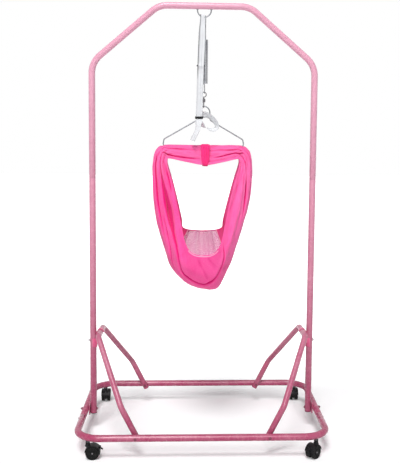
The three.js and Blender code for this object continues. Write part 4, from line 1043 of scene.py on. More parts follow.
@dataclass
class HangingGear:
    """The wire pieces in line from the top bar down to the sling's hanger."""

    shop: Workshop
    ring_z: float = 1646.0
    ring_radius: float = 26.5
    ring_leg: float = 2.5
    ring_wire: float = 5.0
    spring_wire: float = 3.4
    coil_radius: float = 9.5
    pitch: float = 4.0
    turns: int = 42
    axis_x: float = 4.0
    end_bend: float = 4.0
    top_lift: float = 4.7
    top_neck: float = 81.0
    top_tip: float = 17.0
    bottom_neck: float = 26.0
    bottom_tip: float = 8.0
    end_azimuth: float = math.radians(60)
    eye_radius: float = 9.5
    eye_wire: float = 4.0
    eye_rise: float = 16.3
    eye_shank: float = 4.4
    barrel: tuple = (13.0, 13.0, 10.0)
    hook_wire: float = 4.5
    hook_radius: float = 8.5
    hook_shoulder: float = 8.0
    hook_neck: float = 8.0
    hook_tip: float = 11.0
    hanger_wire: float = 5.0
    hanger_half: float = 158.0
    shoulder_inset: float = 5.0
    shoulder_rise: float = 27.3
    neck_rise: float = 102.0
    arch_radius: float = 24.0
    arch_height: float = 53.0
    hanger_bends: tuple = (10.0, 10.0, 14.0, 24.0)
    fit: float = 0.3

    def __post_init__(self) -> None:
        """Works out each height from the piece above, as the CAD does."""
        azimuth = self.end_azimuth
        self.neck_y = self.coil_radius * math.sin(azimuth) + self.end_bend * math.cos(azimuth)
        inward = self.coil_radius * math.cos(azimuth) - self.end_bend * math.sin(azimuth)
        top_x, bottom_x = self.axis_x + inward, self.axis_x - inward
        ring_low = self.ring_z - math.sqrt(self.ring_radius**2 - top_x**2)
        self.top_hook = ring_low + self.top_lift - self.neck_y
        self.top_z = self.top_hook - self.top_neck
        part = (math.pi - 2 * azimuth) / (2 * math.pi)
        self.length = (self.turns - part) * self.pitch
        self.bottom_z = self.top_z - self.length
        self.bottom_hook = self.bottom_z - self.bottom_neck
        inner = self.eye_radius - (self.eye_wire + self.spring_wire) / 2 - self.fit
        self.eye_z = self.bottom_hook - self.neck_y - math.sqrt(inner**2 - bottom_x**2)
        self.barrel_top = self.eye_z - self.eye_rise
        self.barrel_low = self.barrel_top - self.barrel[1]
        self.hook_low = self.barrel_low - self.hook_shoulder - self.hook_neck - self.hook_wire
        self.crown = self.hook_low + (self.hanger_wire + self.hook_wire) / 2 + self.fit
        self.bar_z = self.crown - self.arch_height - self.neck_rise

    def build(self) -> None:
        """Makes every piece from the ring to the hanger."""
        self.ring()
        self.spring()
        self.swivel()
        self.hanger()

    def ring(self) -> None:
        """A half ring of wire with short straight legs, and a weld bead at each leg's top."""
        r, z = self.ring_radius, self.ring_z
        corners = [(-r, 0, z + self.ring_leg), (-r, 0, z - r), (r, 0, z - r), (r, 0, z + self.ring_leg)]
        wire = Path.bent(corners, [r, r], Y_AXIS, 0.09).tube(self.ring_wire / 2, columns=16)
        top = z + self.ring_leg
        bead = [[2.6, -2.4], [3.4, -1.6], [4.1, -0.6], [4.3, 0.05]]
        beads = [lathe(bead, (x, 0, top), columns=20) for x in (-r, r)]
        self.shop.piece("hanging_ring_wire", [wire, *beads], BARE_WIRE)

    def spring_end(self, up: int, azimuth: float, last_z: float, neck: float, tip: float) -> Path:
        """From the last coil outward: a bend, a neck, a half circle and a straight tip.

        The bend turns from the coil's heading to up or down. The neck's side direction turns
        evenly to X, so that the hook's half circle can lie in the plane of Y and Z.

        Args:
            up: 1 for the top end and -1 for the bottom end.
            azimuth: Of the last coil's end.
            last_z: Its height.
            neck: From there to the hook's level.
            tip: Length of the straight end.

        Returns:
            The path, with its headings outward.
        """
        around = np.array([*cos_sin(azimuth), 0.0])
        run = np.cross(Z_AXIS, around) * up
        rise = Z_AXIS * up
        start = around * self.coil_radius + Z_AXIS * last_z
        a = np.linspace(0.2, np.pi / 2, 7)[:, None]
        bend = start + self.end_bend * (np.sin(a) * run + (1 - np.cos(a)) * rise)
        foot = bend[-1]
        hook_z = last_z + up * neck
        share = np.linspace(0, 1, 9)[1:, None]
        shank = foot + share * (hook_z - foot[2]) * Z_AXIS
        final = round(azimuth / math.pi) * math.pi
        turned = azimuth + share[:, 0] * (final - azimuth)
        b = np.linspace(0, np.pi, 15)[1:, None]
        y = foot[1]
        hook = foot * X_AXIS + Z_AXIS * hook_z + np.cos(b) * y * Y_AXIS + np.sin(b) * y * rise
        last = hook[-1] - rise * tip
        flat = X_AXIS * math.cos(final)
        points = np.vstack([bend, shank, hook, last])
        headings = np.vstack([
            np.cos(a) * run + np.sin(a) * rise, np.repeat([rise], 8, axis=0),
            np.cos(b) * rise - np.sin(b) * Y_AXIS * np.sign(y), -rise,
        ])
        sides = np.vstack([
            np.repeat([around], 7, axis=0),
            np.column_stack([cos_sin(turned), np.zeros(8)]),
            np.repeat([flat], 15, axis=0),
        ])
        return Path(points, headings, sides)

    def spring(self) -> None:
        """The closed coil with a long hooked neck at each end.

        The coil is a helix: the radius times the cosine and sine of the turn, rising evenly.
        """
        first = math.pi - self.end_azimuth
        turn = self.length / self.pitch * 2 * math.pi
        angles = first + np.linspace(0, turn, int(turn / 0.2618))
        around = np.column_stack([cos_sin(angles), np.zeros(len(angles))])
        rise = self.bottom_z + self.length * np.linspace(0, 1, len(angles))
        body = around * self.coil_radius + rise[:, None] * Z_AXIS
        ahead = unit(np.cross(Z_AXIS, around) * self.coil_radius + Z_AXIS * self.pitch / (2 * np.pi))
        last = (first + turn) % (2 * math.pi)
        top = self.spring_end(1, last, self.top_z, self.top_neck, self.top_tip)
        low = self.spring_end(-1, first, self.bottom_z, self.bottom_neck, self.bottom_tip)
        path = Path(
            np.vstack([low.points[::-1], body, top.points]) + X_AXIS * self.axis_x,
            np.vstack([-low.headings[::-1], ahead, top.headings]),
            np.vstack([low.sides[::-1], around, top.sides]),
        )
        wire = path.tube(self.spring_wire / 2, lip=0.4, columns=10)
        spring = self.shop.piece("coil_spring_wire", wire, BARE_WIRE, None)
        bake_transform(spring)

    def swivel(self) -> None:
        """The eye and its shank above, and the barrel with the open hook below."""
        out = circle(40) @ FACING[:2]
        centres = out * self.eye_radius + Z_AXIS * self.eye_z
        points = sweep(centres, out, Y_AXIS, circle(16, self.eye_wire / 2))
        ring = Patch(points, loops=(True, True), caps=False)
        r, low = self.eye_shank / 2, self.barrel_top - self.barrel[2] + 0.4
        foot = self.eye_z - self.eye_radius
        shank = lathe([
            [r - 0.3, low], [r, low + 0.4], [r, self.barrel_top + 0.4], [r + 1.6, self.barrel_top + 0.7],
            [r + 1.6, self.barrel_top + 2.2], [r, self.barrel_top + 2.8], [r, foot - 1.2], [r - 0.5, foot],
        ], columns=20)
        self.shop.piece("swivel_eye_ring", [ring, shank], ZINC, "swivel_top")
        big, bore = self.barrel[0] / 2, r + 0.5
        base, top = self.barrel_low, self.barrel_top
        barrel = lathe([
            [2.4, base - 0.6], [big - 1.6, base - 0.4], [big - 0.4, base + 0.5], [big, base + 1.6],
            [big, base + 4.2], [big - 0.5, base + 4.6], [big - 0.5, base + 5.4], [big, base + 5.8],
            [big, top - 1.6], [big - 0.5, top - 0.5], [big - 1.6, top], [bore, top], [bore, top - 6],
            [2.4, top - 6.2],
        ], columns=32)
        hook_low = self.hook_low
        corners = [
            (0, 0, base + 3), (0, 0, hook_low + self.hook_shoulder + self.hook_neck),
            (0, self.hook_radius, hook_low + self.hook_shoulder), (0, self.hook_radius, hook_low),
            (0, -self.hook_radius, hook_low), (0, -self.hook_radius, hook_low + self.hook_tip),
        ]
        bends = [self.hook_wire / 2, self.hook_wire / 2, self.hook_shoulder / 2, self.hook_radius]
        hook = Path.bent(corners, bends, X_AXIS, 0.12).tube(self.hook_wire / 2, lip=1.0, columns=16)
        self.shop.piece("swivel_hook_wire", [barrel, hook], ZINC, "swivel_bottom")

    def hanger(self) -> None:
        """One bent wire, from the middle of its bottom bar round both shoulders and the arch."""
        half = [
            (self.hanger_half, 0, self.bar_z),
            (self.hanger_half - self.shoulder_inset, 0, self.bar_z + self.shoulder_rise),
            (self.arch_radius, 0, self.bar_z + self.neck_rise), (self.arch_radius, 0, self.crown),
        ]
        mirrored = [(-x, y, z) for x, y, z in reversed(half)]
        corners = [(0.25, 0, self.bar_z), *half, *mirrored, (-0.25, 0, self.bar_z)]
        bends = [*self.hanger_bends, *reversed(self.hanger_bends)]
        wire = Path.bent(corners, bends, Y_AXIS, 0.1).tube(self.hanger_wire / 2, lip=0.3, columns=16)
        self.shop.piece("hanger_wire", wire, BARE_WIRE, "sling", "hanger_frame")


# Sling


@dataclass(frozen=True)
class Crease:
    """A sharp valley in the cloth with a soft roll on each side.

    Attributes:
        line: Places round the loop and, for each, the share across the cloth, the valley's depth
            in mm and its half width as a share.
        roll: How much of its depth the cloth rises on the rim's side.
    """

    line: tuple
    roll: float = 0.35

    def depth_at(self, place: Array, across: Array) -> Array:
        """How far the cloth moves inwards, in mm.

        The line's values are eased by a short bell along it. Across it the valley is a bell, less
        one wider bell on the rim's side and half of one on the other side.

        Args:
            place: Where round the loop.
            across: Where across the cloth.

        Returns:
            Millimetres, below zero where the cloth rises.
        """
        places, *values = np.array(self.line, float).T
        dense = np.arange(places[0] - 0.3, places[-1] + 0.3, 0.05)
        kernel = np.hanning(13) / np.hanning(13).sum()
        padded = (np.pad(np.interp(dense, places, value), 6, "edge") for value in values)
        eased = (np.convolve(line, kernel, "valid") for line in padded)
        centre, depth, width = (np.interp(place, dense, line) for line in eased)
        off = (across - centre) / width
        return depth * (bell(off, 0, 1) - self.roll * (bell(off, -2.0, 1.5) + 0.5 * bell(off, 2.0, 1.5)))


@dataclass
class Sling:
    """The cloth loop over the hanger's bar: band, two limbs, pocket, net window and tie."""

    shop: Workshop
    gear: HangingGear
    height: float = 566.0
    half_width: float = 198.0
    half_depth: float = 150.0
    cloth: float = 1.3
    fold_depth: float = 9.0
    fold_count: int = 3
    rows_each: int = 16
    columns: tuple = (76, 44)
    bar_slack: float = 0.3
    window_place: float = 10.0
    window_across: float = 0.5
    net_gaps: tuple = (54, 38)
    net_share: float = 0.5
    net_thick: float = 0.5
    # Each pleat of the net: its size in mm, its rate round the loop and where it starts.
    net_pleats: tuple = ((4.5, 3.6, 10.3), (2.0, 9.1, 0.0))
    # The hanger's slits: their middle and half their length, in places, and half their width.
    # The crease depth, in mm, at which the painted crease shade is full.
    slit: tuple = (2.56, 0.34, 0.15)
    full_fold: float = 5.5
    middle_z: float = 850.0
    shoulder_z: float = 900.0
    tie_width: float = 36.0
    tie_x: float = 7.0
    tie_depth: float = 24.5
    tie_rise: float = 81.0
    tie_gather: float = 1.25
    tie_slack: float = 2.5
    places: tuple = (
        ((0, 0), (0, 0.136), (0, 0.136), 0.14, 0.2),
        ((0.38, 0), (0.36, 0.115), (0.36, 0.115), 0.155, 0.25),
        ((0.74, 0), (0.667, 0.092), (0.667, 0.092), 0.17, 0.25),
        ((0.845, 0.007), (0.7, 0.094), (0.7, 0.094), 0.185, 0.35),
        ((0.945, 0.044), (0.712, 0.115), (0.712, 0.115), 0.21, 0.6),
        ((0.995, 0.125), (0.692, 0.152), (0.692, 0.152), 0.26, 0.9),
        ((1, 0.258), (0.61, 0.249), (0.61, 0.249), 0.35, 1),
        ((0.96, 0.408), (0.505, 0.399), (0.505, 0.399), 0.47, 1),
        ((0.87, 0.549), (0.414, 0.549), (0.424, 0.532), 0.62, 0.8),
        ((0.722, 0.69), (0.343, 0.652), (0.404, 0.594), 0.79, 0.55),
        ((0.525, 0.841), (0.253, 0.703), (0.293, 0.615), 0.92, 0.4),
        ((0.293, 0.965), (0.141, 0.723), (0.152, 0.622), 0.99, 0.3),
        ((0, 1), (0, 0.728), (0, 0.624), 1, 0.3),
    )
    # How far the outermost line and the rims stand from the even form, at some places.
    outer_shifts: tuple = (
        (2, -3, 0), (3, -6, 0), (4, -5, 0), (5, -6, 0), (6, -7, 0), (7, -9, 0), (8, -13, 0), (9, -8, 0),
        (10, 0, -3), (11, -3, -18), (12, 6, -1), (13, -6, 4), (14, -20, -3), (15, -13, 0),
        (16, -7, 0), (17, -3, 0),
    )
    rim_shifts: tuple = ((0, 9, 0), (1, 4, 0), (23, 5, 0))
    creases: tuple = (
        # down the left limb, round under the pocket and up to the right limb
        Crease((
            (9, -0.92, 0, 0.02), (9.3, -0.85, 5, 0.024), (9.8, -0.69, 8, 0.028), (10.3, -0.62, 8, 0.03),
            (10.9, -0.57, 7, 0.03), (11.5, -0.49, 8, 0.028), (12.05, -0.41, 9, 0.028),
            (12.5, -0.43, 9, 0.028), (12.95, -0.46, 8, 0.028), (13.4, -0.47, 8, 0.028),
            (13.8, -0.58, 9, 0.028), (14.3, -0.68, 9, 0.028), (15, -0.74, 9, 0.03),
            (15.7, -0.745, 11, 0.034), (16.2, -0.745, 17, 0.055), (16.7, -0.735, 25, 0.08),
            (17.2, -0.71, 26, 0.085), (17.7, -0.695, 18, 0.065), (18.3, -0.68, 10, 0.035),
            (19.2, -0.68, 5, 0.025), (20, -0.69, 4, 0.025), (20.6, -0.66, 0, 0.02),
        )),
        Crease((
            (13.6, -0.3, 0, 0.02), (14.4, -0.42, 4, 0.022), (15, -0.52, 5, 0.024), (16, -0.56, 6, 0.024),
            (17, -0.57, 0, 0.02),
        )),
        # the left limb's outer side
        Crease((
            (15.3, -0.4, 0, 0.03), (16.3, -0.41, 4, 0.03), (17, -0.41, 9, 0.034), (18, -0.4, 9, 0.034),
            (19, -0.38, 6, 0.03), (19.9, -0.42, 0, 0.03),
        )),
        Crease((
            (18, -0.57, 0, 0.02), (18.45, -0.59, 8, 0.03), (19.1, -0.6, 4, 0.025), (19.6, -0.62, 0, 0.02),
        )),
        Crease((
            (16.8, -0.87, 0, 0.02), (17.6, -0.9, 4, 0.024), (18.7, -0.91, 4, 0.024), (19.4, -0.9, 0, 0.02),
        )),
        # the right limb's outer side
        Crease((
            (4.1, -0.76, 0, 0.025), (4.8, -0.68, 8, 0.032), (5.4, -0.6, 9, 0.032), (6.2, -0.49, 9, 0.034),
            (6.9, -0.44, 5, 0.03), (7.8, -0.38, 0, 0.03),
        )),
        Crease(((5.2, -0.74, 0, 0.02), (5.8, -0.67, 5, 0.024), (6.6, -0.64, 0, 0.02))),
        # the band's lower lip and its flatter fold, on the left and on the right
        Crease((
            (20.5, -0.6, 0, 0.03), (21.1, -0.7, 10, 0.04), (21.6, -0.8, 9, 0.04), (22.4, -0.86, 6, 0.035),
            (23.2, -0.84, 5, 0.032), (23.8, -0.8, 0, 0.03),
        )),
        Crease((
            (21.8, -0.5, 0, 0.03), (22.3, -0.47, 4, 0.035), (23, -0.46, 4, 0.035), (23.6, -0.48, 0, 0.03),
        )),
        Crease((
            (0.3, -0.8, 0, 0.03), (0.9, -0.78, 5, 0.03), (1.6, -0.72, 5, 0.034), (2.3, -0.76, 7, 0.04),
            (2.9, -0.69, 10, 0.04), (3.5, -0.6, 0, 0.03),
        )),
        Crease((
            (0.6, -0.45, 0, 0.03), (1.2, -0.5, 3.5, 0.03), (2, -0.52, 3.5, 0.03), (2.5, -0.55, 0, 0.03),
        )),
    )

    def __post_init__(self) -> None:
        """Works out the cloth's top from the bar, and the lines that carry its section."""
        self.half = len(self.places) - 1
        self.count = 2 * self.half
        self.top = self.gear.bar_z + self.gear.hanger_wire / 2 + self.bar_slack + 0.3 + self.tie_slack
        folds = [self.share(i)[4] * self.fold_depth for i in range(self.count)]
        self.lines = (
            self.knots(0, 0, self.outer_shifts), self.knots(1, -1, self.rim_shifts),
            self.knots(2, 1, self.rim_shifts), np.array(folds)[:, None] * X_AXIS,
        )

    def share(self, index: int) -> tuple:
        """The row of shares for a place, mirrored past the bottom of the pocket."""
        return self.places[index if index <= self.half else self.count - index]

    def knots(self, line: int, side: int, shifts: tuple) -> Array:
        """Places of one of the three lines that carry the cloth's section.

        Args:
            line: 0 for the outermost line, 1 for the near rim and 2 for the far rim.
            side: The sign of the line's Y, or 0.
            shifts: Places with how far they stand from the even form in X and Z.

        Returns:
            Knots by 3.
        """
        rows = []
        for i in range(self.count):
            row = self.share(i)
            x, drop = row[line]
            x *= -self.half_width if i > self.half else self.half_width
            rows.append((x, side * row[3] * self.half_depth, self.top - drop * self.height))
        table = np.array(rows, float)
        for index, x, z in shifts:
            table[index] += (x, 0, z)
        return table

    def surface(self, place: Array, across: Array) -> Array:
        """The cloth's outer face before its wrinkles.

        Across the cloth the section is half an ellipse between the near rim at -1 and the far rim
        at 1, about the outermost line at 0. It is drawn in at each fold, by the fold's depth times
        one less the cosine of the folds' angle.

        Args:
            place: Rows, in places round the loop.
            across: Columns, from -1 to 1.

        Returns:
            Rows by columns by 3.
        """
        place = np.mod(place, self.count)
        outer, near, far, fold = (spline(line, place, True)[:, None] for line in self.lines)
        a = across[None, :, None]
        rim = np.where(a < 0, near, far)
        inward = (rim - outer) * [1, 0, 1]
        angle = np.abs(a) * np.pi / 2
        drawn = fold[..., :1] * (1 - np.cos(2 * np.pi * self.fold_count * a)) / 2 * np.sin(angle)
        points = outer + inward * (1 - np.cos(angle)) + unit(inward) * drawn * np.cos(angle)
        reach = np.sin(angle)[..., 0]
        points[..., 1] = (rim[..., 1] - np.sign(rim[..., 1]) * drawn[..., 0]) * reach
        return points

    def wrinkles(self, place: Array, across: Array) -> Array:
        """How far the cloth moves inwards at its creases, gathers and small wrinkles, in mm.

        A gather is the square of one less the size of a sine, which gives narrow valleys between
        round pleats. The band's gathers close up at the shoulders, the limbs' fade towards the
        pocket, and the right limb has shallower ones. Slow sines bend them so that none repeats.

        Args:
            place: Rows by 1, in places round the loop.
            across: 1 by columns.

        Returns:
            Rows by columns.
        """

        def gathers(phase: Array) -> Array:
            """Narrow valleys wherever the phase is a whole number of half turns."""
            return (1 - np.abs(np.sin(phase))) ** 2

        total = sum(crease.depth_at(place, across) for crease in self.creases)
        from_band = np.minimum(place, self.count - place)
        left = step_between(place, 11.0, 13.0)
        band = 1 - step_between(from_band, 2.4, 3.8)
        wander = 0.05 * np.sin(1.9 * place) + 0.03 * np.sin(4.3 * place + 1.0)
        swell = 0.45 + 0.55 * bell(from_band, 2.7, 1.0) + 0.5 * bell(place, 0.2, 0.5)
        total += band * swell * 2.6 * gathers((across + wander) * 15 + 0.8 * np.sin(place * 1.3))
        total += band * swell * 1.6 * gathers((across - wander) * 26 + 1.7 + 0.5 * place)
        shoulder = bell(from_band, 3.9, 1.1)
        total += shoulder * 3.0 * gathers(across * 17 + 1.6 * np.sin(0.7 * place))
        limb = step_between(from_band, 3.6, 5.0) * (1 - step_between(from_band, 6.5, 10.5))
        limb *= 0.4 + 0.6 * left
        sway = 0.08 * np.sin(0.9 * place + 0.6)
        fade = 0.35 + 0.65 * np.sin(0.8 * place + 4 * across) ** 2
        total += limb * fade * 4.4 * gathers((across + sway) * 14 + 0.9 * np.sin(0.8 * place))
        total += limb * 2.2 * gathers((across - sway) * 25 + 2.4)
        pocket = step_between(from_band, 8.0, 11.0)
        total += pocket * 0.9 * np.sin(5.1 * place + 6 * across) * np.cos(9 * across + 0.7 * place)
        total += pocket * 1.4 * gathers(2.2 * place + 7 * across + 0.8 * np.sin(6 * across))
        total += 0.4 * np.sin(8.3 * place + 4.0 * across) * np.sin(17.0 * across + 1.1 * place)
        return total * (1 - 0.7 * bell(np.abs(across), 1.0, 0.04))

    def faced(self, place: Array, across: Array, depth: Array | float) -> Array:
        """Surface points moved inwards along the normals.

        The normal is the cross product of the changes along the rows and along the columns.

        Args:
            place: Rows.
            across: Columns.
            depth: Millimetres inwards, as one number or rows by columns.

        Returns:
            Rows by columns by 3.
        """
        points = self.surface(place, across)
        nudge = 1e-3
        along = self.surface(place + nudge, across) - self.surface(place - nudge, across)
        edge = np.clip(across, -1 + nudge, 1 - nudge)
        sideways = self.surface(place, edge + nudge) - self.surface(place, edge - nudge)
        normal = unit(np.cross(along, sideways))
        return points - normal * np.broadcast_to(depth, points.shape[:2])[..., None]

    def build(self) -> None:
        cloth, hems = self.make_cloth(), self.make_hems()
        net, piping = self.make_net(), self.make_piping()
        tie = self.make_tie()
        around, girth = self.sizes_of(np.arange(self.count * 8) / 8, np.linspace(-1, 1, 49), True)
        area = self.area_of(cloth) / 2
        LOG.info("sling: %.3f m round, %.3f m across, %.4f m2", around, girth, area)
        places = np.linspace(self.window_place, self.count - self.window_place, 41)
        width, rise = self.sizes_of(places, np.linspace(self.window_across, 1, 25), False)
        strands = self.area_of(net) / 2
        LOG.info("net: %.3f by %.3f m, strands %.4f m2", width, rise, strands)
        round(self.area_of(tie) / 2, 4)

    @staticmethod
    def area_of(obj: bpy.types.Object) -> float:
        """The sum of an object's face areas, in square metres."""
        areas = np.zeros(len(obj.data.polygons))
        obj.data.polygons.foreach_get("area", areas)
        return float(areas.sum())

    def sizes_of(self, place: Array, across: Array, closed: bool) -> tuple[float, float]:
        """The greatest lengths along and across a part of the cloth, in metres.

        Args:
            place: Rows.
            across: Columns.
            closed: Whether the rows close on themselves.

        Returns:
            The length along the rows and the length across the columns.
        """
        points = self.surface(place, across)
        rows = np.concatenate([points, points[:1]]) if closed else points
        along = np.linalg.norm(np.diff(rows, axis=0), axis=2).sum(axis=0).max()
        wide = np.linalg.norm(np.diff(points, axis=1), axis=2).sum(axis=1).max()
        return float(along) * MM, float(wide) * MM

    def shell(self, name: str, place: Array, across: Array, keep: Array, depth: Array, finish: Finish,
              loop: bool, thickness: float) -> bpy.types.Object:
        """An outer and an inner layer of one sheet, joined along every edge.

        Args:
            name: The piece's name.
            place: Rows.
            across: Columns.
            keep: Which cells of the grid are cloth.
            depth: Millimetres inwards of the outer layer.
            finish: The cloth's finish.
            loop: Whether the rows close on themselves.
            thickness: From the outer layer to the inner.

        Returns:
            The piece.
        """
        points = self.faced(place, across, depth)
        patch = Patch(points, loops=(loop, False), caps=False, keep=keep)
        obj = self.shop.piece(name, patch, finish, "sling", closed=False, sharp=180)
        # Painted shade: the fold attribute grows with how deep the cloth sinks, and darkens its creases.
        crease_shade = np.clip(depth / self.full_fold, 0, 1).ravel()
        obj.data.attributes.new("fold", "FLOAT", "POINT").data.foreach_set("value", crease_shade)
        self.face_out(obj)
        solid = obj.modifiers.new("thickness", "SOLIDIFY")
        solid.thickness, solid.offset, solid.use_even_offset = thickness * MM, -1.0, False
        self.apply(obj)
        return obj

    def face_out(self, obj: bpy.types.Object) -> None:
        """Turns a cloth's faces away from the middle of the sling, and drops unused points.

        Args:
            obj: The cloth, whose faces already agree with one another.
        """
        mesh = bmesh.new()
        mesh.from_mesh(obj.data)
        loose = [vert for vert in mesh.verts if not vert.link_faces]
        bmesh.ops.delete(mesh, geom=loose, context="VERTS")
        mesh.to_mesh(obj.data)
        mesh.free()
        count = len(obj.data.polygons)
        normals, centres = np.zeros(count * 3), np.zeros(count * 3)
        obj.data.polygons.foreach_get("normal", normals)
        obj.data.polygons.foreach_get("center", centres)
        centres = centres.reshape(-1, 3)
        low = centres[:, 2] < self.shoulder_z * MM
        away = centres - Z_AXIS * self.middle_z * MM
        if (normals.reshape(-1, 3)[low] * away[low]).sum() < 0:
            obj.data.flip_normals()

    @staticmethod
    def apply(obj: bpy.types.Object) -> None:
        """Puts an object's modifiers into its mesh.

        Args:
            obj: The object.
        """
        graph = bpy.context.evaluated_depsgraph_get()
        made = bpy.data.meshes.new_from_object(obj.evaluated_get(graph), depsgraph=graph)
        obj.modifiers.clear()
        old, obj.data = obj.data, made
        bpy.data.meshes.remove(old)

    def make_cloth(self) -> bpy.types.Object:
        """The pink cloth, open at the two slits for the hanger and at the net window."""
        place = np.arange(self.count * self.rows_each) / self.rows_each
        front, back = self.columns
        across = np.concatenate([np.linspace(-1, 0, front + 1)[:-1], np.linspace(0, 1, back + 1)])
        low, side = place[:, None] + 0.5 / self.rows_each, (across[:-1] + across[1:])[None] / 2
        from_band = np.minimum(low, self.count - low)
        window = (from_band > self.window_place) & (side > self.window_across)
        centre, length, width = self.slit
        slit = ((from_band - centre) / length) ** 2 + (side / width) ** 2 < 1
        depth = self.wrinkles(place[:, None], across[None])
        keep = ~(window | slit)
        return self.shell("sling_cloth_knit", place, across, keep, depth, CLOTH, True, self.cloth)

    def cord(self, name: str, runs: Sequence[tuple], size: tuple, finish: Finish, closed: bool,
             inset: float = 0.6) -> bpy.types.Object:
        """A rolled hem or piping along a line of the cloth.

        Args:
            name: The piece's name.
            runs: Pairs of places and shares, one of them a single value, that make up the line.
            size: Its width across the line and its thickness.
            finish: Its finish.
            closed: Whether it closes on itself.
            inset: How far its middle lies inside the cloth's outer face.

        Returns:
            The piece.
        """
        line = np.vstack([
            self.faced(place, across, self.wrinkles(place[:, None], across[None]) + inset).reshape(-1, 3)
            for place, across in runs
        ])
        ends = (line[-1:], line[:1]) if closed else (line[:1], line[-1:])
        headings = unit(np.vstack([line[1:], ends[1]]) - np.vstack([ends[0], line[:-1]]))
        outward = unit(line - Z_AXIS * self.middle_z)
        first = unit(np.cross(headings, outward))
        points = sweep(line, first, np.cross(headings, first), rounded_box(*size, 1.0, 3))
        node = "net_window" if finish is PIPING else "sling_cloth"
        return self.shop.piece(name, Patch(points, (closed, True), not closed), finish, "sling", node)

    def make_hems(self) -> list[bpy.types.Object]:
        """The rolled hems along the near and the far rim."""
        place = np.arange(self.count * 12) / 12
        return [
            self.cord(f"sling_{word}_hem", [(place, np.array([side]))], (3.6, 2.8), CLOTH, True)
            for word, side in (("near", -0.995), ("far", 0.995))
        ]

    def make_piping(self) -> list[bpy.types.Object]:
        """The pale piping round the window's three sewn edges, and along the pocket's near rim."""
        low, high = np.array([self.window_place]), np.array([self.count - self.window_place])
        side = np.linspace(1, self.window_across, 22)
        foot = np.linspace(low[0], high[0], 50)[1:-1]
        window = [(low, side), (foot, side[-1:]), (high, side[::-1])]
        rim = [(np.linspace(low[0] - 0.2, high[0] + 0.2, 64), np.array([-0.985]))]
        return [
            self.cord("net_window_piping", window, (4.2, 2.8), PIPING, False),
            self.cord("pocket_rim_piping", rim, (3.4, 3.4), PIPING, False, 0.4),
        ]

    def make_net(self) -> bpy.types.Object:
        """The net: a grid whose lines are doubled, with the cells between strands left open."""
        lines = []
        for gaps in self.net_gaps:
            pitch = 1 / (gaps + self.net_share)
            starts = np.arange(gaps + 1) * pitch
            lines.append(np.column_stack([starts, starts + self.net_share * pitch]).ravel())
        first = self.window_place + 0.01
        start = self.window_across + 0.005
        place = first + lines[0] * (self.count - 2 * first)
        across = start + lines[1] * (1 - start)
        odd_row, odd_column = np.arange(len(place) - 1) % 2, np.arange(len(across) - 1) % 2
        keep = ~((odd_row[:, None] == 1) & (odd_column[None] == 1))
        hang = np.sin((across[None] - start) / (1 - start) * np.pi * 0.5)
        pleats = sum(size * np.sin(rate * (place[:, None] - at)) for size, rate, at in self.net_pleats)
        depth = self.wrinkles(place[:, None], across[None]) * (1 - hang) + pleats * hang + 0.4
        return self.shell("net_window_mesh", place, across, keep, depth, NET, False, self.net_thick)

    def make_tie(self) -> bpy.types.Object:
        """A gathered sleeve round the middle of the band.

        A rounded rectangle in Y and Z is the line it runs round. Its section is a strip along X
        whose outer face rises in pleats, by the size of a cosine that slides as it goes round. The
        strip grows narrow towards the bottom of the band.
        """
        height = self.places[0][1][1] * self.height + self.tie_slack
        line = rounded_box(2 * self.tie_depth, height, 7.0, 6)
        dense = np.linspace(0, len(line), 120, endpoint=False)
        ring = np.column_stack([
            np.interp(dense, np.arange(len(line) + 1), np.append(line[:, k], line[0, k])) for k in (0, 1)
        ])
        centre = np.array([self.tie_x, 0, self.top + 0.3 - height / 2])
        points = centre + ring[:, :1] * Y_AXIS + ring[:, 1:] * Z_AXIS
        headings = unit(np.roll(points, -1, 0) - np.roll(points, 1, 0))
        outward = np.cross(headings, X_AXIS)
        outward *= np.sign((outward * (points - centre)).sum(axis=1, keepdims=True))
        phase = 2 * np.pi * np.arange(120)[:, None] / 120
        strip = np.linspace(-1, 1, 45)[None]
        low = 0.5 - ring[:, 1:] / height
        uneven = 0.07 * np.sin(3 * phase + 0.5) + 0.04 * np.cos(7 * phase)
        half = self.tie_width / 2 * (0.93 + uneven - 0.4 * low**5)
        slide = 1.6 * np.sin(2 * phase) + 0.9 * np.sin(5 * phase + 1.0)
        pleat = np.abs(np.cos(strip * 7.0 + slide)) ** 0.8 * (1 - 0.8 * np.abs(strip) ** 6)
        outer = np.stack([strip * half, 0.6 + 2.9 * pleat], axis=-1)
        inner = np.stack([strip[:, ::-1] * half, np.full((120, 45), 0.25)], axis=-1)
        profile = np.concatenate([outer, inner], axis=1)
        grid = sweep(points, X_AXIS, outward, profile)
        patch = Patch(grid, loops=(True, True), caps=False)
        return self.shop.piece("sling_tie_gathered", patch, TIE_CLOTH, "sling", sharp=60)


# Strap


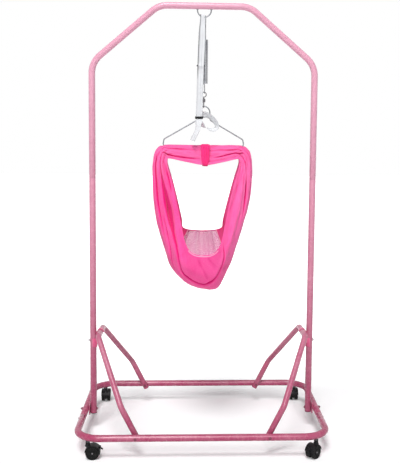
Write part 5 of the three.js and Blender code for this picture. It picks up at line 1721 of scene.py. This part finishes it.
@dataclass
class SafetyStrap:
    """The doubled webbing strap with its slider, buckle, lower loop and loose end."""

    shop: Workshop
    gear: HangingGear
    width: float = 25.0
    thick: float = 1.6
    ring_width: float = 17.0
    ring_room: float = 0.8
    ring_x: float = -7.0
    front_depth: float = 16.5
    layer_gap: float = 0.5
    slider_drop: float = 99.5
    buckle_drop: float = 44.4
    slider_x: float = -13.0
    buckle_x: float = -18.0
    slider_tall: float = 6.0
    bar_rise: float = 3.4
    keeper_wall: float = 1.2
    buckle_tall: float = 12.0
    buckle_body: float = 9.0
    wrap_rise: float = 20.0
    leg_reach: float = 5.8
    leg_wrap: tuple = (math.radians(230), math.radians(60))
    loop_reach: float = 51.0
    loop_depth: float = 19.0
    loop_drop: float = 57.0
    tail_reach: float = 26.0
    tail_depth: float = 16.0
    tail_drop: float = 82.0
    joins: tuple = (1345.0, 1285.0)
    loop_shares: tuple = (
        (-0.24, 0.14, 0, 0, 0, 1), (-0.04, -0.22, 0, 0, -0.1, 1), (0.16, -0.61, 0, 0, -0.35, 0.9),
        (0.37, -0.89, 0.07, 0.1, -0.6, 0.75), (0.61, -1, 0.21, 0.35, -0.7, 0.55),
        (0.84, -1, 0.44, 0.6, -0.75, 0.3), (1, -1, 0.68, 0.6, -0.8, 0.05), (0.98, -1, 0.89, 0.45, -0.8, -0.3),
        (0.78, -1, 1, 0.15, -0.8, -0.55), (0.47, -1, 0.98, 0.05, -0.85, -0.45),
        (0.18, -1, 0.86, 0.3, -0.9, -0.2), (-0.06, -0.86, 0.7, 0.7, -0.7, 0),
    )
    tail_shares: tuple = (
        (0, 0, 0, 1, 0, 0), (0.04, 0.34, 0.1, 1, -0.1, 0), (0.1, 0.6, 0.25, 0.9, -0.4, 0),
        (0.22, 0.82, 0.47, 0.8, -0.6, 0), (0.58, 0.94, 0.73, 0.75, -0.66, 0), (1, 1, 1, 0.75, -0.66, 0),
    )

    def __post_init__(self) -> None:
        """Works out the layers' places and the heights of the slider and the buckle."""
        self.step = self.thick + self.layer_gap
        self.back_y, self.front_y = -self.front_depth, -self.front_depth - self.step
        self.slider_z = self.gear.top_z - self.slider_drop
        self.buckle_z = self.gear.crown - self.buckle_drop
        self.buckle_low = self.buckle_z - self.buckle_tall / 2

    def build(self) -> None:
        """Makes the strap in three lengths, and its keepers, lower loop and loose end."""
        self.upper()
        self.keepers()
        self.lower_loop()
        self.loose_end()

    def band(self, stations: Array, start: float = 0.0) -> Patch:
        """Webbing along stations of place, width direction and width.

        The section is a thin rounded strip whose faces sink a little in the middle, and it is
        carried along with its width direction made square to the heading.

        Args:
            stations: Stations by 7: place, width direction and width.
            start: Where the weave's own distance starts, in mm.

        Returns:
            The closed patch.
        """
        centres, wide, width = stations[:, :3], stations[:, 3:6], stations[:, 6]
        headings = unit(np.gradient(centres, axis=0))
        first = unit(wide - (wide * headings).sum(axis=1, keepdims=True) * headings)
        share = np.concatenate([np.linspace(-1, 1, 13), np.linspace(1, -1, 13)])
        half = np.concatenate([np.ones(13), -np.ones(13)]) * self.thick / 2
        half *= 0.86 - 0.30 * (np.abs(share) > 0.98) + 0.10 * np.cos(share * 12)
        profile = np.stack(np.broadcast_arrays(width[:, None] / 2 * share, half), axis=-1)
        return Patch(sweep(centres, first, np.cross(headings, first), profile), start=start * MM)

    def belt(self, name: str, patches: Sequence[Patch], body: str | None) -> bpy.types.Object:
        """A piece of webbing with painted shade along its edges, the left one darker.

        The painted shade falls from 1 at the left edge to nothing in the middle, and rises a little at the
        right edge. It is weaker below the slider.

        Args:
            name: The piece's name.
            patches: Its bands.
            body: The body that it rides on, or None.

        Returns:
            The piece.
        """
        belt = self.shop.piece(name, patches, BELT, body, sharp=50)
        edge_shade = np.interp(np.arange(13), [0, 1, 2, 3, 11, 12], [1.0, 0.9, 0.35, 0.0, 0.0, 0.45])
        count = len(belt.data.vertices)
        places = np.zeros(count * 3)
        belt.data.vertices.foreach_get("co", places)
        values = np.tile(np.concatenate([edge_shade, edge_shade[::-1]]), count // 26)
        # The painted edge shade is weaker below the slider.
        values *= 0.2 + 0.8 * step_between(places[2::3], 1.37, 1.42)
        belt.data.attributes.new("selvedge", "FLOAT", "POINT").data.foreach_set("value", values)
        return belt

    def upper(self) -> None:
        """Up the front from the buckle, over the ring and down the back, cut at the joints' seams.

        The middle length turns with the swivel and the lowest one sways with the hanger, and the
        The cuts meet exactly.
        """
        gear = self.gear
        wrap = gear.ring_wire / 2 + 2 * gear.fit + self.thick + self.ring_room
        reach = abs(self.ring_x) + self.ring_width / 2
        ring_z = gear.ring_z - math.sqrt(gear.ring_radius**2 - reach**2)
        knots_z = [self.buckle_z + 0.3, self.slider_z, gear.top_z + self.width,
                   gear.ring_z - gear.ring_radius - gear.ring_wire]
        knots_x = [self.buckle_x, self.slider_x, self.ring_x - self.thick, self.ring_x]
        joins = [knots_z[0], self.joins[1], self.joins[0], knots_z[3]]

        def leg(way: int, low: float, high: float, count: int) -> Array:
            """One layer between two heights, eased in width towards the ring.

            Args:
                way: -1 for the front layer and 1 for the back one.
                low: Where it starts.
                high: Where it ends.
                count: How many stations it gets.

            Returns:
                Stations by 7.
            """
            z = np.linspace(low, high, count)
            flat = self.front_y if way < 0 else self.back_y
            y = np.interp(z, knots_z, [flat, flat, flat, way * wrap])
            ripple = 0.35 * np.sin(z / 19.0 + way) * np.clip((z - low) / 30, 0, 1)
            ripple *= np.clip((high - z) / 30, 0, 1)
            over_bar = way * self.bar_rise * bell(z, self.slider_z, 8.0)
            width = np.interp(z, knots_z, [self.width] * 3 + [self.ring_width])
            wide = np.repeat([X_AXIS], count, axis=0)
            return np.column_stack([np.interp(z, knots_z, knots_x), y + ripple + over_bar, z, wide, width])

        def legs(index: int, count: int) -> list[Patch]:
            """Both layers between one join and the next."""
            low, high = joins[index : index + 2]
            return [self.band(leg(way, low, high, count), low) for way in (-1, 1)]

        angles = np.pi - np.linspace(0, np.pi, 17)[1:-1]
        centres = (self.ring_x, 0, ring_z) + wrap * cos_sin(angles) @ FACING[[2, 1]]
        over = np.column_stack([centres, np.repeat([X_AXIS], 15, axis=0), np.full(15, self.ring_width)])
        top = np.vstack([leg(-1, joins[2], joins[3], 110), over, leg(1, joins[2], joins[3], 110)[::-1]])
        for word, bands, bodies, start, stop in (
            ("upper", [self.band(top, joins[2])], ("spring_unit", "swivel_top"), 1600.0, joins[2]),
            ("middle", legs(1, 24), ("swivel_top", "swivel_bottom"), joins[2], joins[1]),
            ("lower", legs(0, 20), ("swivel_bottom", "sling"), joins[1], 1245.0),
        ):
            strap = self.belt(f"safety_strap_{word}", bands, None)
            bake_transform(strap)

    def keepers(self) -> None:
        """The slider and the buckle: flat moulded frames with rounded walls round both layers.

        Each is a closed loop whose inner and outer outlines are rounded rectangles, carried down
        by its height with its edges drawn in, and the buckle has a bar across its front.
        """
        inner = (self.width + 1.4, self.step + self.thick + 0.6)
        middle = (self.back_y + self.front_y) / 2
        for name, body, tall, x, z in (
            ("strap_slider", "spring_unit", self.slider_tall, self.slider_x, self.slider_z),
            ("strap_buckle", "sling", self.buckle_body, self.buckle_x, self.buckle_z),
        ):
            outer = (inner[0] + 4.4, inner[1] + 2 * self.keeper_wall)
            wall = [
                (outer, 0.7, -tall / 2), (outer, 0.0, 0.9 - tall / 2), (outer, 0.0, tall / 2 - 0.9),
                (outer, 0.7, tall / 2), (inner, -0.3, tall / 2), (inner, 0.0, tall / 2 - 0.5),
                (inner, 0.0, 0.5 - tall / 2), (inner, -0.3, -tall / 2),
            ]
            rows = []
            for (wide, deep), drawn, height in wall:
                ring = rounded_box(wide - 2 * drawn, deep - 2 * drawn, 1.6, 5)
                rows.append(np.column_stack([ring, np.full(len(ring), height)]))
            walls = Patch(np.stack(rows) + [x, middle, z], loops=(True, True), caps=False)
            at = (x, middle - outer[1] / 2 - 0.05, z)
            rib = plate(rounded_box(outer[0] * 0.8, tall * 0.34, 1.0), 1.0, 0.3, at)
            self.shop.piece(f"{name}_moulding", [walls, rib], MOULDING, body)

    def lower_loop(self) -> None:
        """From the hanger's left leg, across to the right, slack below it and to the buckle."""
        wrap_z = self.gear.bar_z + self.gear.neck_rise + self.wrap_rise
        leg_x = -self.gear.arch_radius
        knots = [(leg_x + self.leg_reach, -self.loop_depth / 2, wrap_z, 0, 0, 1)]
        for x, y in self.leg_reach * cos_sin(np.linspace(*self.leg_wrap, 6)):
            knots.append((leg_x + x, y, wrap_z, 0, 0, 1))
        for x, y, drop, *wide in self.loop_shares:
            knots.append((x * self.loop_reach, y * self.loop_depth, wrap_z - drop * self.loop_drop, *wide))
        for below in (9.0, 1.0, 0.3 - self.buckle_tall / 2):
            knots.append((self.buckle_x, self.back_y, self.buckle_low - below, 1, 0, 0))
        self.hanging("strap_loop_webbing", knots, 150)

    def loose_end(self) -> None:
        """The tail below the buckle, with its cut end."""
        knots = [(self.buckle_x, self.front_y, self.buckle_z - 0.3, 1, 0, 0)]
        for x, y, drop, *wide in self.tail_shares:
            knots.append((
                self.buckle_x - x * self.tail_reach, self.front_y - y * self.tail_depth,
                self.buckle_low - 1 - drop * self.tail_drop, *wide,
            ))
        self.hanging("strap_tail_webbing", knots, 60)

    def hanging(self, name: str, knots: list, count: int) -> None:
        """A smooth band of webbing through knots.

        Args:
            name: The piece's name.
            knots: Each a place and a width direction.
            count: How many stations it gets.
        """
        table = np.array([(*knot, self.width) for knot in knots], float)
        table[:, 3:6] = unit(table[:, 3:6])
        stations = spline(table, np.linspace(0, len(table) - 1, count))
        self.belt(name, [self.band(stations)], "sling")


# Casters


@dataclass
class Caster:
    """One twin-wheel caster: stem, housing, axle, two wheels and, at the front, a brake pedal.

    It is drawn about its stem's axis, trailing along X, and then turned and put under the base.
    """

    shop: Workshop
    name: str
    signs: tuple
    heading: float
    pedal: bool
    sizes: TubeSizes = TubeSizes()
    trail: float = 18.0
    wheel: float = 24.5
    axle_z: float = 25 * math.cos(math.pi / 16)
    wheel_width: float = 12.0
    web: float = 11.0
    side_gap: float = 0.5
    hood_gap: float = 1.5
    hood_thick: float = 2.0
    pivot_radius: float = 31.0
    pivot_angle: float = math.radians(35)
    lug: tuple = (4.0, 2.5)
    sleeve_half: float = 5.0

    def __post_init__(self) -> None:
        """Works out where the caster stands and the axes that it is drawn in."""
        s, bend = self.sizes, math.radians(30)
        self.origin = np.array([
            self.signs[0] * (s.rail_x - s.base_corner * (1 - math.sin(bend))),
            self.signs[1] * (s.rail_y - s.base_corner * (1 - math.cos(bend))),
            0.0,
        ])
        c, n = math.cos(self.heading), math.sin(self.heading)
        self.axes = np.array([[c, n, 0], [-n, c, 0], [0, 0, 1]])
        self.flange_top = s.rail_height - s.radius - s.fit
        self.hood_in = 25.0 + self.hood_gap
        self.hood_out = self.hood_in + self.hood_thick
        self.wheel_in = self.web / 2 + self.side_gap
        self.pivot = (
            self.trail + self.pivot_radius * math.cos(self.pivot_angle),
            self.axle_z + self.pivot_radius * math.sin(self.pivot_angle),
        )

    def add(self, name: str, patches: Sequence[Patch], finish: Finish, body: str = "") -> None:
        """Makes one piece from patches drawn about the stem, and puts it where the caster stands.

        Args:
            name: Its name after the caster's own.
            patches: Its surfaces.
            finish: Its finish.
            body: The caster's body that it rides on, or nothing for the stand.
        """
        moved = [replace(patch, points=placed(patch.points, self.axes, self.origin)) for patch in patches]
        self.shop.piece(f"{self.name}_{name}", moved, finish, f"{self.name}_{body}" if body else "stand")

    def build(self) -> None:
        """Makes the caster's pieces."""
        self.stem()
        self.housing()
        self.wheels()
        if self.pedal:
            self.brake()

    def stem(self) -> None:
        """The zinc stem: a pin in the housing, a flange under the tube and a thread into it."""
        top, foot = self.flange_top, self.flange_top - 2.6
        profile = [
            [3.0, foot - 24], [3.5, foot - 23.5], [3.5, foot - 0.2], [7.4, foot - 0.1], [8.0, foot + 0.5],
            [8.0, top - 0.5], [7.4, top], [4.0, top + 0.05], [4.0, top + 1], [3.7, top + 1.5],
            [4.0, top + 2], [3.7, top + 2.6], [4.0, top + 3.2], [3.7, top + 3.9], [4.0, top + 4.6],
            [3.6, top + 8.4], [3.0, top + 9],
        ]
        self.add("caster_stem_turned", [lathe(profile)], ZINC)

    def housing(self) -> None:
        """The hood over the wheels, the web between them, the boss round the stem and the lugs.

        The hood's line is an arc about the axle, and its section a rounded strip along the axle.
        """
        width = 2 * (self.wheel_in + self.wheel_width + self.side_gap)
        ten, middle, thick = math.radians(10), (self.hood_in + self.hood_out) / 2, self.hood_thick
        axle = np.array([self.trail, 0, self.axle_z])
        out = cos_sin(np.linspace(ten, math.pi - ten, 40)) @ FACING[:2]
        hood = sweep(out * middle + axle, Y_AXIS, out, rounded_box(width, thick, thick / 2))
        rim = cos_sin(np.linspace(-2 * ten, math.pi + 2 * ten, 48)) * middle
        parts = [Patch(hood), plate(rim, self.web, 1.0, axle)]
        bore, top, low = 3.9, self.flange_top - 2.6 - 0.3, self.axle_z + self.hood_in - 3
        parts.append(lathe([
            [bore, low - 2], [10.5, low - 1], [9.6, low + 2.5], [8.4, low + 5.0],
            [8.0, low + 7.0], [8.0, top - 0.6], [7.5, top], [bore, top],
        ], columns=32, loop=True))
        if self.pedal:
            radius, skin = self.lug
            swing = self.pivot_angle + np.linspace(-1.6, 1.6, 14)
            root = self.pivot_angle + np.array([0.2, 0.0, -0.2])
            lug = np.vstack([
                self.pivot + radius * cos_sin(swing), axle[[0, 2]] + (middle - 0.5) * cos_sin(root),
            ])
            for sign in (-1, 1):
                parts.append(plate(lug, skin, 0.4, (0, sign * (self.sleeve_half + 0.3 + skin / 2), 0)))
        self.add("caster_housing_moulding", parts, MOULDING, "caster")
        reach = self.wheel_in + self.wheel_width
        profile = [[2.4, -reach - 0.1], [3.0, 0.5 - reach], [3.0, reach - 0.5], [2.4, reach + 0.1]]
        self.add("caster_axle_turned", [lathe(profile, axle, Y_AXIS, 20)], ZINC, "caster")

    def wheels(self) -> None:
        """Two wheels: a rounded tread with fine grooves, a dished face, and spokes round a hub."""
        r, width = self.wheel, self.wheel_width
        groove = ((0.0, 0.0), (0.5, 0.3), (0.5, 0.8), (0.0, 1.1))
        grooves = [[r - depth, start + along] for start in (4.0, 7.4) for depth, along in groove]
        profile = [
            [3.4, 0.0], [r - 1.2, 0.0], [r - 0.3, 0.4], [r, 1.2], *grooves, [r, 10.4], [r - 0.5, 11.4],
            [r - 1.6, width - 0.1], [r - 3.4, width - 0.1], [r - 4.2, width - 1.2], [r - 4.8, width - 2.6],
            [9.0, width - 3.0], [8.0, width - 1.2], [7.2, width - 0.3], [4.6, width], [3.4, width - 0.4],
        ]
        for word, sign in (("left", 1), ("right", -1)):
            origin = np.array([self.trail, sign * self.wheel_in, self.axle_z])
            axis = sign * Y_AXIS
            parts = [lathe(profile, origin, axis, 48, loop=True)]
            for k in range(6):
                out = cos_sin(k * math.pi / 3 + 0.3) @ FACING[:2]
                at = origin + out * 14.0 + axis * (width - 2.4)
                spoke = rounded_box(11.5, 2.2, 1.0, 3)
                parts.append(plate(spoke, 2.0, 0.4, at, (out, np.cross(axis, out), axis)))
            self.add(f"caster_{word}_wheel_tread", parts, TREAD, f"{word}_wheel")

    def brake(self) -> None:
        """The pedal: a lever from its pin down to a ribbed toe, slightly curved.

        Its line bends down evenly from the pivot to the tip, and its section is a rounded strip.
        """
        pivot_x, pivot_z = self.pivot
        tip_x = self.trail + 36 - pivot_x
        share = np.linspace(-0.12, 1, 24)
        line = np.column_stack([
            pivot_x + tip_x * share, np.zeros(24), pivot_z - 8 * share - 0.7 * np.sin(share * np.pi) + 0.3,
        ])
        headings = unit(np.gradient(line, axis=0))
        up = np.cross(headings, Y_AXIS)
        up *= np.sign(up[:, 2:])
        wide = np.interp(share, [-0.12, 0.3, 0.85, 1], [8.6, 9.2, 9.8, 8.0])
        section = rounded_box(1.0, 1.0, 0.28)[None] * np.stack([wide, np.full(24, 2.8)], -1)[:, None]
        lever = Patch(sweep(line, Y_AXIS, up, section))
        pivot, half = (pivot_x, 0, pivot_z), self.sleeve_half
        pin = lathe([[1.4, -7.7], [1.8, -7.3], [1.8, 7.3], [1.4, 7.7]], pivot, Y_AXIS, 16)
        sleeve = lathe([[2.0, -half], [3.0, 0.4 - half], [3.0, half - 0.4], [2.0, half]], pivot, Y_AXIS, 20)
        parts = [lever, pin, sleeve]
        for share_at in (0.55, 0.72, 0.89):
            k = int(np.argmin(np.abs(share - share_at)))
            at = line[k] + up[k] * 1.6
            parts.append(plate(rounded_box(8.0, 1.0, 0.4, 3), 1.0, 0.25, at, (Y_AXIS, headings[k], up[k])))
        self.add("brake_pedal_lever", parts, MOULDING, "pedal")


# Studio


@dataclass
class Studio:
    """Floor, lamps, world and the photograph's camera."""

    image: tuple = (400, 463)
    place: tuple = (-0.05342, -2.93822, 1.16002)
    focal: float = 751.95
    yaw: float = 0.046512
    pitch: float = 0.090382
    roll: float = 0.009998
    principal: tuple = (224.19, 205.83)
    floor_size: float = 40.0

    def build(self) -> None:
        """Sets up the view and makes everything that isn't part of the cradle."""
        bpy.context.scene.view_settings.view_transform = "Standard"
        self.camera()
        self.world()
        self.floor()
        self.lamp("front_lamp", (-0.5, -3.4, 0.75), (0.0, 0.0, 0.8), 2.2, 12.0)
        self.lamp("front_sun", (-0.10, -1.0, 0.85), (0.0, 0.0, 0.0), math.radians(25), 1.6)
        self.lamp("high_sun", (-0.13, -0.46, 1.0), (0.0, 0.0, 0.0), math.radians(18), 1.6)

    def camera(self) -> None:
        """The camera: its axes from yaw, pitch and roll, its shift from the principal point."""
        cy, sy = math.cos(self.yaw), math.sin(self.yaw)
        cp, sp = math.cos(self.pitch), math.sin(self.pitch)
        ahead = np.array([sy * cp, cy * cp, -sp])
        right = np.array([cy, -sy, 0.0])
        up = np.cross(right, ahead)
        cr, sr = math.cos(self.roll), math.sin(self.roll)
        right, up = cr * right + sr * up, -sr * right + cr * up
        data = bpy.data.cameras.new("photograph_camera")
        long_side = max(self.image)
        data.sensor_width = 36.0
        data.lens = self.focal * 36.0 / long_side
        data.shift_x = (self.image[0] / 2 - self.principal[0]) / long_side
        data.shift_y = (self.principal[1] - self.image[1] / 2) / long_side
        data.clip_end = 100.0
        bpy.context.scene.camera = added("photograph_camera", data, (right, up, -ahead), self.place)

    def world(self) -> None:
        """A white backdrop for the camera and for gloss, and a softer light for the rest."""
        tree = Tree("studio_world", "worlds")
        bpy.context.scene.world = tree.owner
        white = tree.node("Background", {"Color": (1, 1, 1, 1)})
        soft = tree.node("Background", {"Color": (0.97, 0.98, 1, 1), "Strength": 0.19})
        tree.show(tree.node("MixShader", {0: tree.seen(), 1: soft.outputs[0], 2: white.outputs[0]}))

    def floor(self) -> None:
        """A wide pale floor that keeps the stand's soft shadows, and glows further behind it."""
        mesh = bpy.data.meshes.new("studio_floor")
        corners = np.array([(-1, -1, 0), (1, -1, 0), (1, 1, 0), (-1, 1, 0)]) * self.floor_size / 2
        mesh.from_pydata(corners.tolist(), [], [(0, 1, 2, 3)])
        tree = Tree("pale_floor")
        place, plain = tree.place["Object"], tree.shader.outputs[0]
        mottle = tree.noise(place, 3.0, 4.0)
        tree.feed("Base Color", tree.mixed(mottle, (0.93, 0.93, 0.935), (0.90, 0.90, 0.905)))
        tree.put(Roughness=0.7, Specular_IOR_Level=0.2)
        behind = tree.node("SeparateXYZ", {0: place}).outputs[1]
        strength = tree.range(behind, 0.45, 0.9, 0.12, 0.6)
        glow = tree.node("Emission", {"Color": (1, 1, 1, 1), "Strength": strength})
        lit = tree.node("AddShader", {0: plain, 1: glow.outputs[0]})
        tree.show(tree.node("MixShader", {0: tree.seen(), 1: plain, 2: lit.outputs[0]}))
        mesh.materials.append(tree.owner)
        added("studio_floor", mesh)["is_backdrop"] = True

    def lamp(self, name: str, place: tuple, target: tuple, size: float, power: float) -> None:
        """A soft lamp that faces a point: a square one, or a sun where its name says so.

        Args:
            name: Its name.
            place: Where it hangs, in metres.
            target: What it faces.
            size: Its side in metres, or a sun's width in radians.
            power: In watts, or a sun's in watts per square metre.
        """
        sun = name.endswith("sun")
        data = bpy.data.lights.new(name, "SUN" if sun else "AREA")
        setattr(data, "angle" if sun else "size", size)
        data.energy = power
        back = unit(np.array(place) - np.array(target))
        right = unit(np.cross(Y_AXIS if abs(back[1]) < 0.9 else Z_AXIS, back))
        added(name, data, (right, np.cross(back, right), back), place)


def main() -> None:
    """Builds the studio and the cradle's sub-assemblies."""
    logging.basicConfig(level=logging.INFO, format="%(name)s: %(message)s", stream=sys.stdout)
    Studio().build()
    shop = Workshop()
    Stand(shop).build()
    gear = HangingGear(shop)
    gear.build()
    Sling(shop, gear).build()
    SafetyStrap(shop, gear).build()
    for name, signs, heading, pedal in (
        ("front_left", (-1, -1), 0.0, True),
        ("front_right", (1, -1), math.radians(226.2), True),
        ("rear_left", (-1, 1), math.pi / 2, False),
        ("rear_right", (1, 1), math.pi / 2, False),
    ):
        Caster(shop, name, signs, heading, pedal).build()
    LOG.info("%d pieces", len(shop.pieces))
    boxes = {"cad": CAD_BOX, "visual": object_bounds()}
    boxes = {name: [list(corner) for corner in box] for name, box in boxes.items()}


if __name__ == "__main__":
    main()
